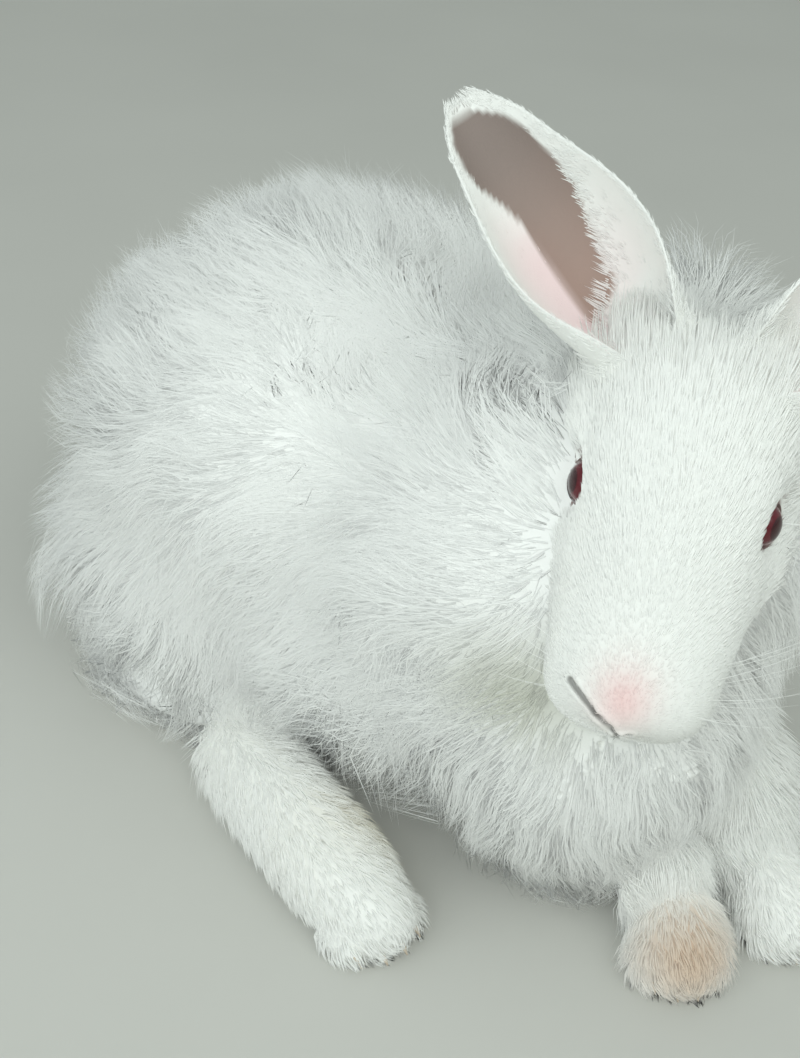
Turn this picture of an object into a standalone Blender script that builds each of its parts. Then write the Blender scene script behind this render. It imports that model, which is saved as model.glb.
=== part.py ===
"""An angora rabbit, life size, sitting on its hind feet with its head turned to its right.

Metres, +Z up. The rump points to +Y and the breast to -Y, and the rabbit's right side is at -X.
The floor is Z = 0, and the origin is on the flat of the belly that rests on it.
"""

import math
import random

import bmesh
import bpy
import numpy as np
from mathutils import Matrix, Vector
from mathutils.bvhtree import BVHTree
from mathutils.geometry import area_tri

SEED = 15
GAP = 0.0003
UP = Vector((0.0, 0.0, 1.0))
SIDES = {"right": -1.0, "left": 1.0}
CUTTER_REACH = 0.5

# Coat: blended ellipsoids give its outline at the tips of the wool, each as centre, radii and turn
COAT_FORMS = {
    "rump": ((0.000, 0.035, 0.088), (0.103, 0.106, 0.098), 0.0),
    "belly": ((0.000, -0.005, 0.042), (0.066, 0.105, 0.047), 0.0),
    "right haunch": ((-0.054, 0.044, 0.048), (0.056, 0.072, 0.056), 0.0),
    "left haunch": ((0.054, 0.044, 0.048), (0.056, 0.072, 0.056), 0.0),
    "right flank": ((-0.048, -0.030, 0.060), (0.044, 0.060, 0.050), 0.0),
    "left flank": ((0.048, -0.030, 0.060), (0.044, 0.060, 0.050), 0.0),
    "shoulders": ((0.000, -0.055, 0.092), (0.086, 0.098, 0.088), -20.0),
    "ruff": ((0.012, -0.090, 0.120), (0.082, 0.068, 0.072), -30.0),
    "breast": ((-0.020, -0.112, 0.072), (0.059, 0.055, 0.067), -30.0),
    "mane": ((0.060, -0.064, 0.148), (0.044, 0.042, 0.046), 0.0),
}
COAT_MIDDLE = (0.0, -0.015, 0.085)
COAT_SOFTNESS = 0.004
COAT_STRETCH = (1.0, 1.35, 1.0)
COAT_DEPTH = 0.019
CORE_FOOT = 0.012
CORE_SLOPE = 0.025
BREAST_START = -0.085
BREAST_SLOPE = 0.050
BREAST_SHARE = 0.45

# Locks of wool: how far apart they root, their size, and how they lie
LOCK_SPACING = 0.0236
LOCK_LENGTH = 0.047
LOCK_SHORTEST = 0.016
LOCK_HALF_WIDTH = 0.0125
LOCK_RIDGE = 0.0040
LOCK_KEEL = 0.0012
LOCK_SINK = 0.006
LOCK_SWAY = math.radians(16.0)
LOCK_SHAPE = ((0.0, 0.80, 1.0), (0.35, 1.0, 1.0), (0.70, 0.66, 0.7), (1.0, 0.05, 0.14))
LOCK_LOWEST_ROOT = 0.016
LOCK_LOWEST = 0.003
LOCK_SIZES = (0.85, 1.12)
LOCK_SOONER = 1.35
LOCK_LIFT_POWER = 0.8
LOCK_CLEAR_OF_SMOOTH = 0.004
LOCK_CLEAR_OF_COLLAR = 0.002
CANDIDATES = 5000

# The lie of the wool: it turns from rearward on the back to downward on the flanks and the breast
BACK_HEIGHT = 0.125
FLANK_HEIGHT = 0.10
BREAST_TURN = -0.060
BREAST_TURN_LENGTH = 0.04
FLANK_SPREAD = 0.35
FLANK_REARWARD = 0.40
BREAST_FORWARD = 1.1
BACK_FALL = 0.20
FLANK_FALL = 0.85
BIB_HEIGHT = 0.07
BIB_SPREAD = 0.7
BIB_FALL = 1.2

# The neck with its ruff and bib is ahead of this plane, and the torso is behind it
COLLAR = Vector((0.004, -0.082, 0.128))
COLLAR_NORMAL = Vector((-0.30, -0.50, 0.62)).normalized()

# Head, in a frame of its own: origin between the eyes, F toward the nose, L to its left, U up
EYE_MIDDLE = Vector((-0.016, -0.126, 0.155))
HEAD_TURN = math.radians(60.0)
HEAD_NOD = math.radians(38.0)
HEAD_ROLL = math.radians(3.0)
NOSE_REACH = 0.0665
SKULL_REACH = 0.050
HEAD_WIDTHS = (
    (0.0, 0.046),
    (0.07, 0.039),
    (0.15, 0.0334),
    (0.27, 0.0296),
    (0.54, 0.0306),
    (0.71, 0.037),
    (1.0, 0.064),
)
HEAD_HEIGHTS = ((0.0, 0.045), (0.06, 0.0335), (0.15, 0.0268), (0.4, 0.0281), (0.7, 0.035), (1.0, 0.045))
HEAD_MIDDLES = ((0.0, -0.0155), (0.15, -0.012), (0.4, -0.0085), (0.7, -0.004), (1.0, -0.003))
HEAD_BULGES = {
    "whisker pad": ((0.0545, 0.013, -0.014), 0.012, (0.003, 0.003, 0.0)),
    "cheek": ((0.008, 0.029, -0.022), 0.020, (0.0, 0.004, -0.002)),
    "brow": ((0.002, 0.024, 0.016), 0.011, (0.0, 0.002, 0.002)),
    "eye pit": ((0.002, 0.031, 0.003), 0.011, (0.0, -0.0035, -0.0010)),
    "chin": ((0.042, 0.0, -0.0335), 0.013, (0.003, 0.0, -0.002)),
    "nose": ((0.0665, 0.0, -0.005), 0.007, (0.0015, 0.0, 0.001)),
}
EYE_SIDE = 0.0222
EYE_RADIUS = 0.0086
EYE_LOOK = (0.22, 0.90, 0.36)
LID_DISTANCE = 0.0060
LID_LENGTH = 0.0072
LID_HEIGHT = 0.0058
LID_RADIUS = 0.0014
LID_AROUND = 18
LID_SIDES = 5
FACE_START = -0.030
FACE_SLOPE = 0.015
FACE_BARE = 0.003

# Slits of the face, as points that the surface of the head is met toward, from a point inside it
FACE_MIDDLE = (0.040, 0.0, -0.012)
NOSTRIL = ((0.0685, 0.0018, -0.0090), (0.0685, 0.0042, -0.0063), (0.0675, 0.0064, -0.0040))
CLEFT = ((0.0685, 0.0, -0.0080), (0.0685, 0.0, -0.0130), (0.0675, 0.0, -0.0185), (0.0655, 0.0, -0.0225))
MOUTH = (
    (0.0655, 0.0, -0.0225),
    (0.0620, 0.0060, -0.0265),
    (0.0535, 0.0125, -0.0295),
    (0.0430, 0.0170, -0.0300),
)
NOSTRIL_RADIUS = 0.0011
CLEFT_RADIUS = 0.0006
SLIT_SINK = 0.3
SLIT_START = 0.7
SLIT_END = 0.5
SLIT_SIDES = 5

# Ears: a sheet that is curled across, with its two margins rolled toward the hollow side
EAR_ROOT = (-0.0326, 0.0131, 0.0095)
EAR_LINE = (-0.597, 0.748, 0.280)
EAR_HOLLOW = (0.29, -0.05, 0.90)
EAR_LENGTH = 0.098
EAR_THICKNESS = 0.0022
EAR_ARMS = (
    (0.0, 0.0277),
    (0.12, 0.0313),
    (0.28, 0.0338),
    (0.5, 0.0311),
    (0.74, 0.0202),
    (0.93, 0.0110),
    (1.0, 0.0056),
)
EAR_CURLS = ((0.0, 138.0), (0.15, 115.0), (0.35, 88.0), (0.6, 72.0), (1.0, 40.0))
EAR_OUTER_MARGIN = 1.25
EAR_BEND = 0.006
EAR_ROOM = 0.0006
EAR_STEPS = 14
EAR_SPREAD = 10
EAR_EDGE_ROOM = 4.0

# Legs and feet
HIND_HEEL = Vector((0.084, 0.004, 0.0))
HIND_TOES = Vector((0.098, -0.110, 0.0))
HIND_HALF_WIDTH = 0.0175
HIND_HEIGHT = 0.032
HOCK = Vector((0.078, 0.006, 0.013))
KNEE = Vector((0.058, -0.014, 0.042))
SHANK_RADIUS = 0.014
FORE_WRIST = {"right": Vector((-0.012, -0.146, 0.0)), "left": Vector((0.022, -0.154, 0.0))}
FORE_TOES = {"right": Vector((-0.038, -0.181, 0.0)), "left": Vector((0.004, -0.196, 0.0))}
ELBOW = {"right": Vector((-0.018, -0.118, 0.062)), "left": Vector((0.026, -0.122, 0.062))}
FORE_HALF_WIDTH = 0.0150
FORE_HEIGHT = 0.026
FORELEG_RADIUS = 0.0165
HIND_LIMB_SWELL = (0.6, 1.0, 0.7)
FORE_LIMB_SWELL = (0.7, 1.0, 0.8)
FORE_LIMB_START = 0.25
FORE_LIMB_HEIGHT = 0.012
LIMB_SIDES = 12
FOOT_WIDTHS = ((0.0, 0.86), (0.45, 0.84), (0.8, 1.02), (1.0, 1.0))
FOOT_RISES = ((0.0, 0.62), (0.5, 0.62), (0.8, 0.55), (1.0, 0.5))
FOOT_BLUNTNESS = 0.8
FOOT_SOLE = 0.5
FOOT_MIDDLE = 0.36
TOE_PLACES = (-0.66, -0.22, 0.22, 0.66)
TOE_SIZE = Vector((0.0052, 0.0100, 0.0068))
TOE_SET_BACK = 0.010
TOE_ARC = 0.008
CLAW_LENGTH = 0.009
CLAW_RADIUS = 0.0015
CLAW_ROOT = 0.003
CLAW_TAPER = (1.0, 0.75, 0.2)
CLAW_SIDES = 5
LEG_ROOM = 0.0005

# Tail
TAIL_ROOT = Vector((0.0, 0.118, 0.046))
TAIL_TIP = Vector((0.0, 0.163, 0.083))
TAIL_RADIUS = 0.021
TAIL_FLATNESS = 0.8
TAIL_LENGTH_SHARE = 0.62
TAIL_LOCK_SCALE = 0.8
TAIL_LOCK_RISE = 0.006
TAIL_LOCK_FIRST = 0.1
TAIL_LOCK_LAST = 0.8
TAIL_ROOM = 0.003


def start_scene():
    """An empty scene with one collection for the rabbit and one for cutters."""
    for obj in list(bpy.data.objects):
        bpy.data.objects.remove(obj)
    rabbit = bpy.data.collections.new("angora_rabbit")
    cutters = bpy.data.collections.new("cutters")
    for collection in (rabbit, cutters):
        bpy.context.scene.collection.children.link(collection)
    return rabbit, cutters


def finish_of(name, colour, roughness):
    """A Principled material of one colour."""
    made = bpy.data.materials.new(name)
    made.use_nodes = True
    shader = made.node_tree.nodes["Principled BSDF"]
    shader.inputs["Base Color"].default_value = (*colour, 1.0)
    shader.inputs["Roughness"].default_value = roughness
    made.diffuse_color = (*colour, 1.0)
    return made


RABBIT, CUTTERS = start_scene()
WOOL = finish_of("white_wool", (0.86, 0.87, 0.84), 0.9)
SHORT_FUR = finish_of("short_white_fur", (0.88, 0.87, 0.84), 0.85)
EAR_SKIN = finish_of("ear_skin", (0.80, 0.66, 0.62), 0.7)
EYE_RED = finish_of("albino_eye", (0.25, 0.02, 0.03), 0.1)


def add_object(name, bm, finish=None):
    """The mesh as an object: one of the rabbit's if it has a finish, and otherwise a hidden helper."""
    mesh = bpy.data.meshes.new(name)
    bm.to_mesh(mesh)
    bm.free()
    obj = bpy.data.objects.new(name, mesh)
    if finish is None:
        obj.hide_render = True
        obj.display_type = "WIRE"
        CUTTERS.objects.link(obj)
    else:
        mesh.materials.append(finish)
        RABBIT.objects.link(obj)
    return obj


def along(stations, s):
    """The value at s of a smooth curve through (s, value) stations."""
    place = np.array([station[0] for station in stations])
    value = np.array([station[1] for station in stations], float)
    slope = np.gradient(value, place)
    i = int(np.clip(np.searchsorted(place, s) - 1, 0, len(place) - 2))
    span = place[i + 1] - place[i]
    t = (s - place[i]) / span
    start = (2 * t**3 - 3 * t**2 + 1) * value[i] + (t**3 - 2 * t**2 + t) * span * slope[i]
    end = (3 * t**2 - 2 * t**3) * value[i + 1] + (t**3 - t**2) * span * slope[i + 1]
    return start + end


def swell_at(s):
    """The radius of a ball of radius 1 at s, where s runs from pole to pole."""
    return 2.0 * math.sqrt(max(s * (1.0 - s), 0.0))


def facing_out(bm):
    """The closed mesh with all of its faces turned outwards."""
    bm.normal_update()
    bmesh.ops.recalc_face_normals(bm, faces=bm.faces)
    if bm.calc_volume(signed=True) < 0:
        bmesh.ops.reverse_faces(bm, faces=bm.faces)
    return bm


def ball_of(surface, around, rings):
    """A UV sphere whose points are moved to surface(s, angle), with s running from pole to pole."""
    bm = bmesh.new()
    bmesh.ops.create_uvsphere(bm, u_segments=around, v_segments=rings, radius=1.0)
    for vert in bm.verts:
        vert.co = surface((1.0 - vert.co.z) / 2.0, math.atan2(vert.co.y, vert.co.x))
    return facing_out(bm)


def skinned(rings, endless=False):
    """A solid through rings of points, with flat caps at its ends unless it is endless."""
    bm = bmesh.new()
    made = [[bm.verts.new(point) for point in ring] for ring in rings]
    pairs = list(zip(made, made[1:]))
    if endless:
        pairs.append((made[-1], made[0]))
    else:
        bm.faces.new(made[0])
        bm.faces.new(made[-1])
    for here, there in pairs:
        for j in range(len(here)):
            k = (j + 1) % len(here)
            bm.faces.new((here[j], there[j], there[k], here[k]))
    return facing_out(bm)


def swept(points, radii, sides):
    """A round solid drawn along a path."""
    rings = []
    for i, (point, radius) in enumerate(zip(points, radii)):
        ahead = points[min(i + 1, len(points) - 1)] - points[max(i - 1, 0)]
        turn = ahead.to_track_quat("Z", "Y")
        ring = []
        for j in range(sides):
            angle = 2 * math.pi * j / sides
            ring.append(point + turn @ Vector((math.cos(angle) * radius, math.sin(angle) * radius, 0.0)))
        rings.append(ring)
    return skinned(rings)


def grown(bm, amount):
    """The mesh with every point moved out along its normal."""
    bm.normal_update()
    moves = [vert.normal * amount for vert in bm.verts]
    for vert, move in zip(bm.verts, moves):
        vert.co += move
    return bm


def all_beyond(point, normal):
    """A cutter that takes away what is beyond the plane."""
    bm = bmesh.new()
    bmesh.ops.create_cube(bm, size=2 * CUTTER_REACH)
    turn = normal.to_track_quat("Z", "Y").to_matrix().to_4x4()
    bm.transform(Matrix.Translation(point + normal * CUTTER_REACH) @ turn)
    return add_object("half_space", bm)


def floor_block():
    """A cutter that leaves a flat where a solid dips under the floor."""
    return all_beyond(Vector((0.0, 0.0, 0.0)), -UP)


def keep_largest(bm):
    """The mesh with only its largest closed surface."""
    unseen = set(bm.verts)
    groups = []
    while unseen:
        start = unseen.pop()
        group = {start}
        front = [start]
        while front:
            vert = front.pop()
            near = {edge.other_vert(vert) for edge in vert.link_edges} & unseen
            unseen -= near
            group |= near
            front.extend(near)
        groups.append(group)
    groups.sort(key=len)
    loose = [vert for group in groups[:-1] for vert in group]
    bmesh.ops.delete(bm, geom=loose, context="VERTS")
    return bm


def combine(obj, operation, pieces):
    """Joins the pieces to the object or cuts them from it, and keeps its largest closed surface."""
    group = bpy.data.collections.new("pieces")
    bpy.context.scene.collection.children.link(group)
    for piece in pieces:
        group.objects.link(piece)
    modifier = obj.modifiers.new("combine", "BOOLEAN")
    modifier.operation = operation
    modifier.operand_type = "COLLECTION"
    modifier.collection = group
    modifier.solver = "MANIFOLD"
    bpy.context.view_layer.objects.active = obj
    bpy.ops.object.modifier_apply(modifier=modifier.name)
    for piece in pieces:
        bpy.data.objects.remove(piece)
    bpy.data.collections.remove(group)
    bm = bmesh.new()
    bm.from_mesh(obj.data)
    keep_largest(bm)
    bm.to_mesh(obj.data)
    bm.free()


def smooth_shade(obj):
    """Round shading over the whole object."""
    for polygon in obj.data.polygons:
        polygon.use_smooth = True


def outside_coat(points):
    """How far each point is outside the coat's outline: negative inside, zero at the tips of the wool."""
    total = np.zeros(len(points))
    for centre, radii, turn in COAT_FORMS.values():
        c, s = math.cos(math.radians(turn)), math.sin(math.radians(turn))
        x, y, z = (points - np.array(centre)).T
        local = np.stack([c * x + s * y, c * y - s * x, z], axis=1)
        near = np.linalg.norm(local / np.array(radii), axis=1) + 1e-9
        steep = np.linalg.norm(local / np.array(radii) ** 2, axis=1) + 1e-9
        total += np.exp(-near * (near - 1.0) / steep / COAT_SOFTNESS)
    return -COAT_SOFTNESS * np.log(total)


def coat_depth(points):
    """How deep the locks are at each point: less over the smooth breast, and nothing near the floor."""
    foot = np.clip((points[:, 2] - CORE_FOOT) / CORE_SLOPE, 0.0, 1.0)
    breast = np.clip((BREAST_START - points[:, 1]) / BREAST_SLOPE, 0.0, 1.0)
    return COAT_DEPTH * foot * (1.0 - BREAST_SHARE * breast)


def coat_core(around, rings):
    """The solid core of the coat, under the depth of its locks."""
    bm = bmesh.new()
    bmesh.ops.create_uvsphere(bm, u_segments=around, v_segments=rings, radius=1.0)
    bm.transform(Matrix.Rotation(math.radians(90.0), 4, "X"))
    ways = np.array([vert.co[:] for vert in bm.verts]) * np.array(COAT_STRETCH)
    ways /= np.linalg.norm(ways, axis=1)[:, None]
    low = np.zeros(len(ways))
    high = np.full(len(ways), 0.3)
    for _ in range(30):
        middle = (low + high) / 2
        points = np.array(COAT_MIDDLE) + ways * middle[:, None]
        inside = outside_coat(points) < -coat_depth(points)
        low = np.where(inside, middle, low)
        high = np.where(inside, high, middle)
    for vert, point in zip(bm.verts, np.array(COAT_MIDDLE) + ways * low[:, None]):
        vert.co = point
    return facing_out(bm)


def tangent(way, normal):
    """The direction laid flat on the surface."""
    return (way - normal * way.dot(normal)).normalized()


def in_order(place):
    """Sorts places the same way in every build, whatever order a mesh has them in."""
    return tuple(round(value, 5) for value in place)


def triangles_of(bm):
    """The corners of the mesh's triangles, in an order that every build repeats."""
    bmesh.ops.triangulate(bm, faces=bm.faces)
    triangles = []
    for face in bm.faces:
        corners = [vert.co.copy() for vert in face.verts]
        first = min(range(3), key=lambda i: in_order(corners[i]))
        triangles.append(corners[first:] + corners[:first])
    bm.free()
    return sorted(triangles, key=lambda corners: [in_order(corner) for corner in corners])


def scattered(triangles, spacing, rng):
    """Points spread evenly over the triangles, none nearer to another than the spacing, each with its normal."""
    areas = [area_tri(*corners) for corners in triangles]
    kept = []
    for first, second, third in rng.choices(triangles, weights=areas, k=CANDIDATES):
        a, b = sorted((rng.random(), rng.random()))
        point = first * a + second * (b - a) + third * (1.0 - b)
        if all((point - other).length > spacing for other, _ in kept):
            kept.append((point, (second - first).cross(third - first).normalized()))
    return kept


def torso_lie(point):
    """Toward the rump along the back, and toward the floor on the flanks, the breast and behind."""
    low = min(max((BACK_HEIGHT - point.z) / FLANK_HEIGHT, 0.0), 1.0)
    ahead = min(max((BREAST_TURN - point.y) / BREAST_TURN_LENGTH, 0.0), 1.0)
    sideways = FLANK_SPREAD * low * math.copysign(1.0, point.x) * (1.0 - ahead)
    rearward = (1.0 - (1.0 - FLANK_REARWARD) * low) * (1.0 - BREAST_FORWARD * ahead)
    return Vector((sideways, rearward, -BACK_FALL - FLANK_FALL * low))


def neck_lie(point):
    """Away from the face, and down over the breast."""
    away = point - EYE_MIDDLE
    low = min(max(-away.z / BIB_HEIGHT, 0.0), 1.0)
    outward = (away - HEAD_AHEAD * away.dot(HEAD_AHEAD)).normalized()
    return (outward - HEAD_AHEAD * (1.0 - low)) * BIB_SPREAD - UP * (BIB_FALL * low)


def lock(tree, root, normal, lie, edge, rise, scale, rng):
    """One flat lock, rooted in the core, that bends over it along the lie and thins out to a fine tip."""
    size = rng.uniform(*LOCK_SIZES) * scale
    sink = LOCK_SINK * scale
    sway = Matrix.Rotation(rng.gauss(0.0, 1.0) * LOCK_SWAY, 3, normal)
    toward_edge = (sway @ tangent(lie(root), normal)).dot(edge[1])
    room = (edge[0] - root).dot(edge[1]) / max(toward_edge, 0.05)
    length = min(LOCK_LENGTH * size, max(room, LOCK_SHORTEST))
    foot = root.copy()
    rings = []
    last = 0.0
    for part, width, thickness in LOCK_SHAPE:
        way = sway @ tangent(lie(foot), normal)
        foot, normal, _, _ = tree.find_nearest(foot + way * (length * (part - last)))
        last = part
        height = -sink + (rise + sink) * min(1.0, part * LOCK_SOONER) ** LOCK_LIFT_POWER
        middle = foot + normal * height
        middle.z = max(middle.z, LOCK_LOWEST)
        way = tangent(way, normal)
        across = way.cross(normal) * (LOCK_HALF_WIDTH * size * width)
        ridge = normal * (LOCK_RIDGE * scale * thickness)
        keel = normal * (LOCK_KEEL * scale * thickness)
        rings.append([middle + across - keel, middle + ridge, middle - across - keel])
    return add_object("lock", skinned(rings))


def locks_on(core, lie, edge, bare, rng, scale=1.0, rise=None):
    """Locks all over the core, but not near the floor nor where it is bare."""
    triangles = triangles_of(core)
    corners = [corner for triangle in triangles for corner in triangle]
    tree = BVHTree.FromPolygons(corners, [(i, i + 1, i + 2) for i in range(0, len(corners), 3)])
    roots = scattered(triangles, LOCK_SPACING * scale, rng)
    made = []
    for root, normal in roots:
        if root.z > LOCK_LOWEST_ROOT and not bare(root):
            tall = rise or float(coat_depth(np.array([root]))[0])
            made.append(lock(tree, root, normal, lie, edge, tall, scale, rng))
    return made


def head_axes():
    """The head's directions in the rabbit's frame: toward its nose, to its left and up."""
    level = math.cos(HEAD_NOD)
    ahead = Vector((-math.sin(HEAD_TURN) * level, -math.cos(HEAD_TURN) * level, -math.sin(HEAD_NOD)))
    left = Vector((math.cos(HEAD_TURN), -math.sin(HEAD_TURN), 0.0))
    up = ahead.cross(left)
    rolled_left = left * math.cos(HEAD_ROLL) - up * math.sin(HEAD_ROLL)
    rolled_up = left * math.sin(HEAD_ROLL) + up * math.cos(HEAD_ROLL)
    return ahead, rolled_left, rolled_up


HEAD_AHEAD, HEAD_LEFT, HEAD_UP = head_axes()


def head_way(f, l, u):
    """A direction of the head's frame in the rabbit's frame."""
    return HEAD_AHEAD * f + HEAD_LEFT * l + HEAD_UP * u


def head_point(f, l, u):
    """A point of the head's frame in the rabbit's frame."""
    return EYE_MIDDLE + head_way(f, l, u)


def mirrored(place, side):
    """The place on the left or on the right of the head's middle plane."""
    return place[0], place[1] * side, place[2]


def head_surface(s, angle):
    """The surface of the head from the nose at 0 to the back of the skull at 1."""
    swell = swell_at(s)
    place = Vector(
        (
            NOSE_REACH - s * (NOSE_REACH + SKULL_REACH),
            math.cos(angle) * along(HEAD_WIDTHS, s) * swell,
            along(HEAD_MIDDLES, s) + math.sin(angle) * along(HEAD_HEIGHTS, s) * swell,
        )
    )
    moved = place.copy()
    for centre, spread, push in HEAD_BULGES.values():
        for side in SIDES.values():
            far = (place - Vector(mirrored(centre, side))).length / spread
            share = 0.5 if centre[1] == 0.0 else 1.0
            moved += Vector(mirrored(push, side)) * (share * math.exp(-far * far))
    return head_point(*moved)


def eye_centre(side):
    return head_point(0.0, side * EYE_SIDE, 0.0)


def eye_ball(side, radius):
    """The ball of one eye."""
    bm = bmesh.new()
    bmesh.ops.create_uvsphere(bm, u_segments=16, v_segments=10, radius=radius)
    look = head_way(*mirrored(EYE_LOOK, side)).to_track_quat("Z", "Y").to_matrix().to_4x4()
    bm.transform(Matrix.Translation(eye_centre(side)) @ look)
    return bm


def lid_ring(side):
    """The rim of both lids round one eye, as a ring that is longer toward the nose than it is high."""
    look = head_way(*mirrored(EYE_LOOK, side)).normalized()
    length = (HEAD_AHEAD - look * HEAD_AHEAD.dot(look)).normalized()
    height = look.cross(length)
    centre = eye_centre(side) + look * LID_DISTANCE
    rings = []
    for i in range(LID_AROUND):
        turn = 2 * math.pi * i / LID_AROUND
        out = length * (math.cos(turn) * LID_LENGTH) + height * (math.sin(turn) * LID_HEIGHT)
        rolls = [2 * math.pi * j / LID_SIDES for j in range(LID_SIDES)]
        lifts = [out.normalized() * math.cos(roll) + look * math.sin(roll) for roll in rolls]
        rings.append([centre + out + lift * LID_RADIUS for lift in lifts])
    return skinned(rings, endless=True)


def slit(tree, places, radius, side):
    """A cutter along the surface of the head, under the places given."""
    start = head_point(*FACE_MIDDLE)
    path = []
    for place in places:
        way = (head_point(*mirrored(place, side)) - start).normalized()
        path.append(tree.ray_cast(start, way)[0] - way * radius * SLIT_SINK)
    radii = [radius * SLIT_START] + [radius] * (len(path) - 2) + [radius * SLIT_END]
    return add_object("slit", swept(path, radii, SLIT_SIDES))


def head_form():
    """The head without its details."""
    return ball_of(head_surface, 32, 22)


def head_room():
    """A cutter that leaves the gap round the back of the head, and lays the face bare."""
    bm = head_form()
    bm.normal_update()
    moves = []
    for vert in bm.verts:
        ahead = (vert.co - EYE_MIDDLE).dot(HEAD_AHEAD)
        bare = min(max((ahead - FACE_START) / FACE_SLOPE, 0.0), 1.0)
        moves.append(vert.normal * (GAP + FACE_BARE * bare))
    for vert, move in zip(bm.verts, moves):
        vert.co += move
    return add_object("head_room", bm)


def build_head():
    """The head with its lids, nostrils and mouth, and a socket for each eye."""
    bm = head_form()
    tree = BVHTree.FromBMesh(bm)
    head = add_object("head", bm, SHORT_FUR)
    combine(head, "UNION", [add_object("lids", lid_ring(side)) for side in SIDES.values()])
    sockets = [add_object("socket", eye_ball(side, EYE_RADIUS + GAP)) for side in SIDES.values()]
    slits = [slit(tree, CLEFT, CLEFT_RADIUS, 1.0)]
    for side in SIDES.values():
        slits.append(slit(tree, NOSTRIL, NOSTRIL_RADIUS, side))
        slits.append(slit(tree, MOUTH, CLEFT_RADIUS, side))
    combine(head, "DIFFERENCE", sockets + slits)
    return head


def ear_point(side, u, v):
    """A point of the ear's sheet: u runs from root to tip, and v from the inner margin to the outer one."""
    line = head_way(*mirrored(EAR_LINE, side)).normalized()
    hollow = head_way(*mirrored(EAR_HOLLOW, side))
    hollow = (hollow - line * hollow.dot(line)).normalized()
    outward = line.cross(hollow) * side
    arm = along(EAR_ARMS, u)
    curl = math.radians(along(EAR_CURLS, u))
    if v > 0:
        curl *= EAR_OUTER_MARGIN
    turn = abs(v) * curl
    across = math.copysign(arm * math.sin(turn) / curl, v)
    lift = arm * (1.0 - math.cos(turn)) / curl
    bend = EAR_BEND * math.sin(math.pi * u)
    middle = head_point(*mirrored(EAR_ROOT, side)) + line * (EAR_LENGTH * u)
    return middle + outward * across + hollow * (lift - bend)


def ear_sheet(side, room, finish=None, name="ear_room"):
    """The curled sheet of one ear with its thickness, and with room all round it if that is asked."""
    bm = bmesh.new()
    longer = 1.0 + room / EAR_LENGTH * 2.0
    wider = 1.0 + room / EAR_LENGTH * EAR_EDGE_ROOM
    grid = []
    for i in range(EAR_STEPS + 1):
        u = (i / EAR_STEPS - 0.5) * longer + 0.5
        row = [ear_point(side, u, wider * (2.0 * j / EAR_SPREAD - 1.0)) for j in range(EAR_SPREAD + 1)]
        grid.append([bm.verts.new(point) for point in row])
    for i in range(EAR_STEPS):
        for j in range(EAR_SPREAD):
            bm.faces.new((grid[i][j], grid[i + 1][j], grid[i + 1][j + 1], grid[i][j + 1]))
    bm.normal_update()
    bmesh.ops.recalc_face_normals(bm, faces=bm.faces)
    ear = add_object(name, bm, finish)
    thicken = ear.modifiers.new("thickness", "SOLIDIFY")
    thicken.thickness = EAR_THICKNESS + 2.0 * room
    thicken.offset = 0.0
    bpy.context.view_layer.objects.active = ear
    bpy.ops.object.modifier_apply(modifier=thicken.name)
    return ear


def build_ear(name, side):
    """One ear, cut where it meets the head."""
    ear = ear_sheet(side, 0.0, EAR_SKIN, "ear_" + name)
    combine(ear, "DIFFERENCE", [add_object("head_room", grown(head_form(), GAP))])
    return ear


def foot_surface(heel, toes, half_width, height):
    """The surface of a furry foot that lies on the floor from heel to toes."""
    ahead = (toes - heel).normalized()
    side = UP.cross(ahead)

    def surface(s, angle):
        swell = swell_at(s) ** FOOT_BLUNTNESS
        width = half_width * along(FOOT_WIDTHS, s) * swell
        share = along(FOOT_RISES, s) if math.sin(angle) > 0 else FOOT_SOLE
        tall = height * share * swell
        middle = heel.lerp(toes, s) + UP * (height * FOOT_MIDDLE)
        return middle + side * (math.cos(angle) * width) + UP * (math.sin(angle) * tall)

    return surface


def leg_meshes(foot, limb_path, limb_radii, room):
    """A foot, the limb above it, and four toes with their claws, all with this much room round them."""
    heel, toes, half_width, height = foot
    ahead = (toes - heel).normalized()
    side = UP.cross(ahead)
    turn = ahead.to_track_quat("Y", "Z").to_matrix().to_4x4()
    forms = [ball_of(foot_surface(*foot), 14, 11), swept(limb_path, limb_radii, LIMB_SIDES)]
    for place in TOE_PLACES:
        back = TOE_SET_BACK + abs(place) * TOE_ARC
        root = toes + side * (place * half_width) - ahead * back
        middle = root + UP * (TOE_SIZE.z * 0.8)
        toe = bmesh.new()
        bmesh.ops.create_uvsphere(toe, u_segments=8, v_segments=6, radius=1.0)
        toe.transform(Matrix.Translation(middle) @ turn @ Matrix.Diagonal((*TOE_SIZE, 1.0)))
        front = middle + ahead * (TOE_SIZE.y * 0.75)
        tip = front + ahead * CLAW_LENGTH * 0.85 - UP * CLAW_LENGTH * 0.35
        path = [front - ahead * CLAW_ROOT, front + ahead * CLAW_LENGTH * 0.45, tip]
        forms += [toe, swept(path, [CLAW_RADIUS * share for share in CLAW_TAPER], CLAW_SIDES)]
    return [grown(form, room) for form in forms]


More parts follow.
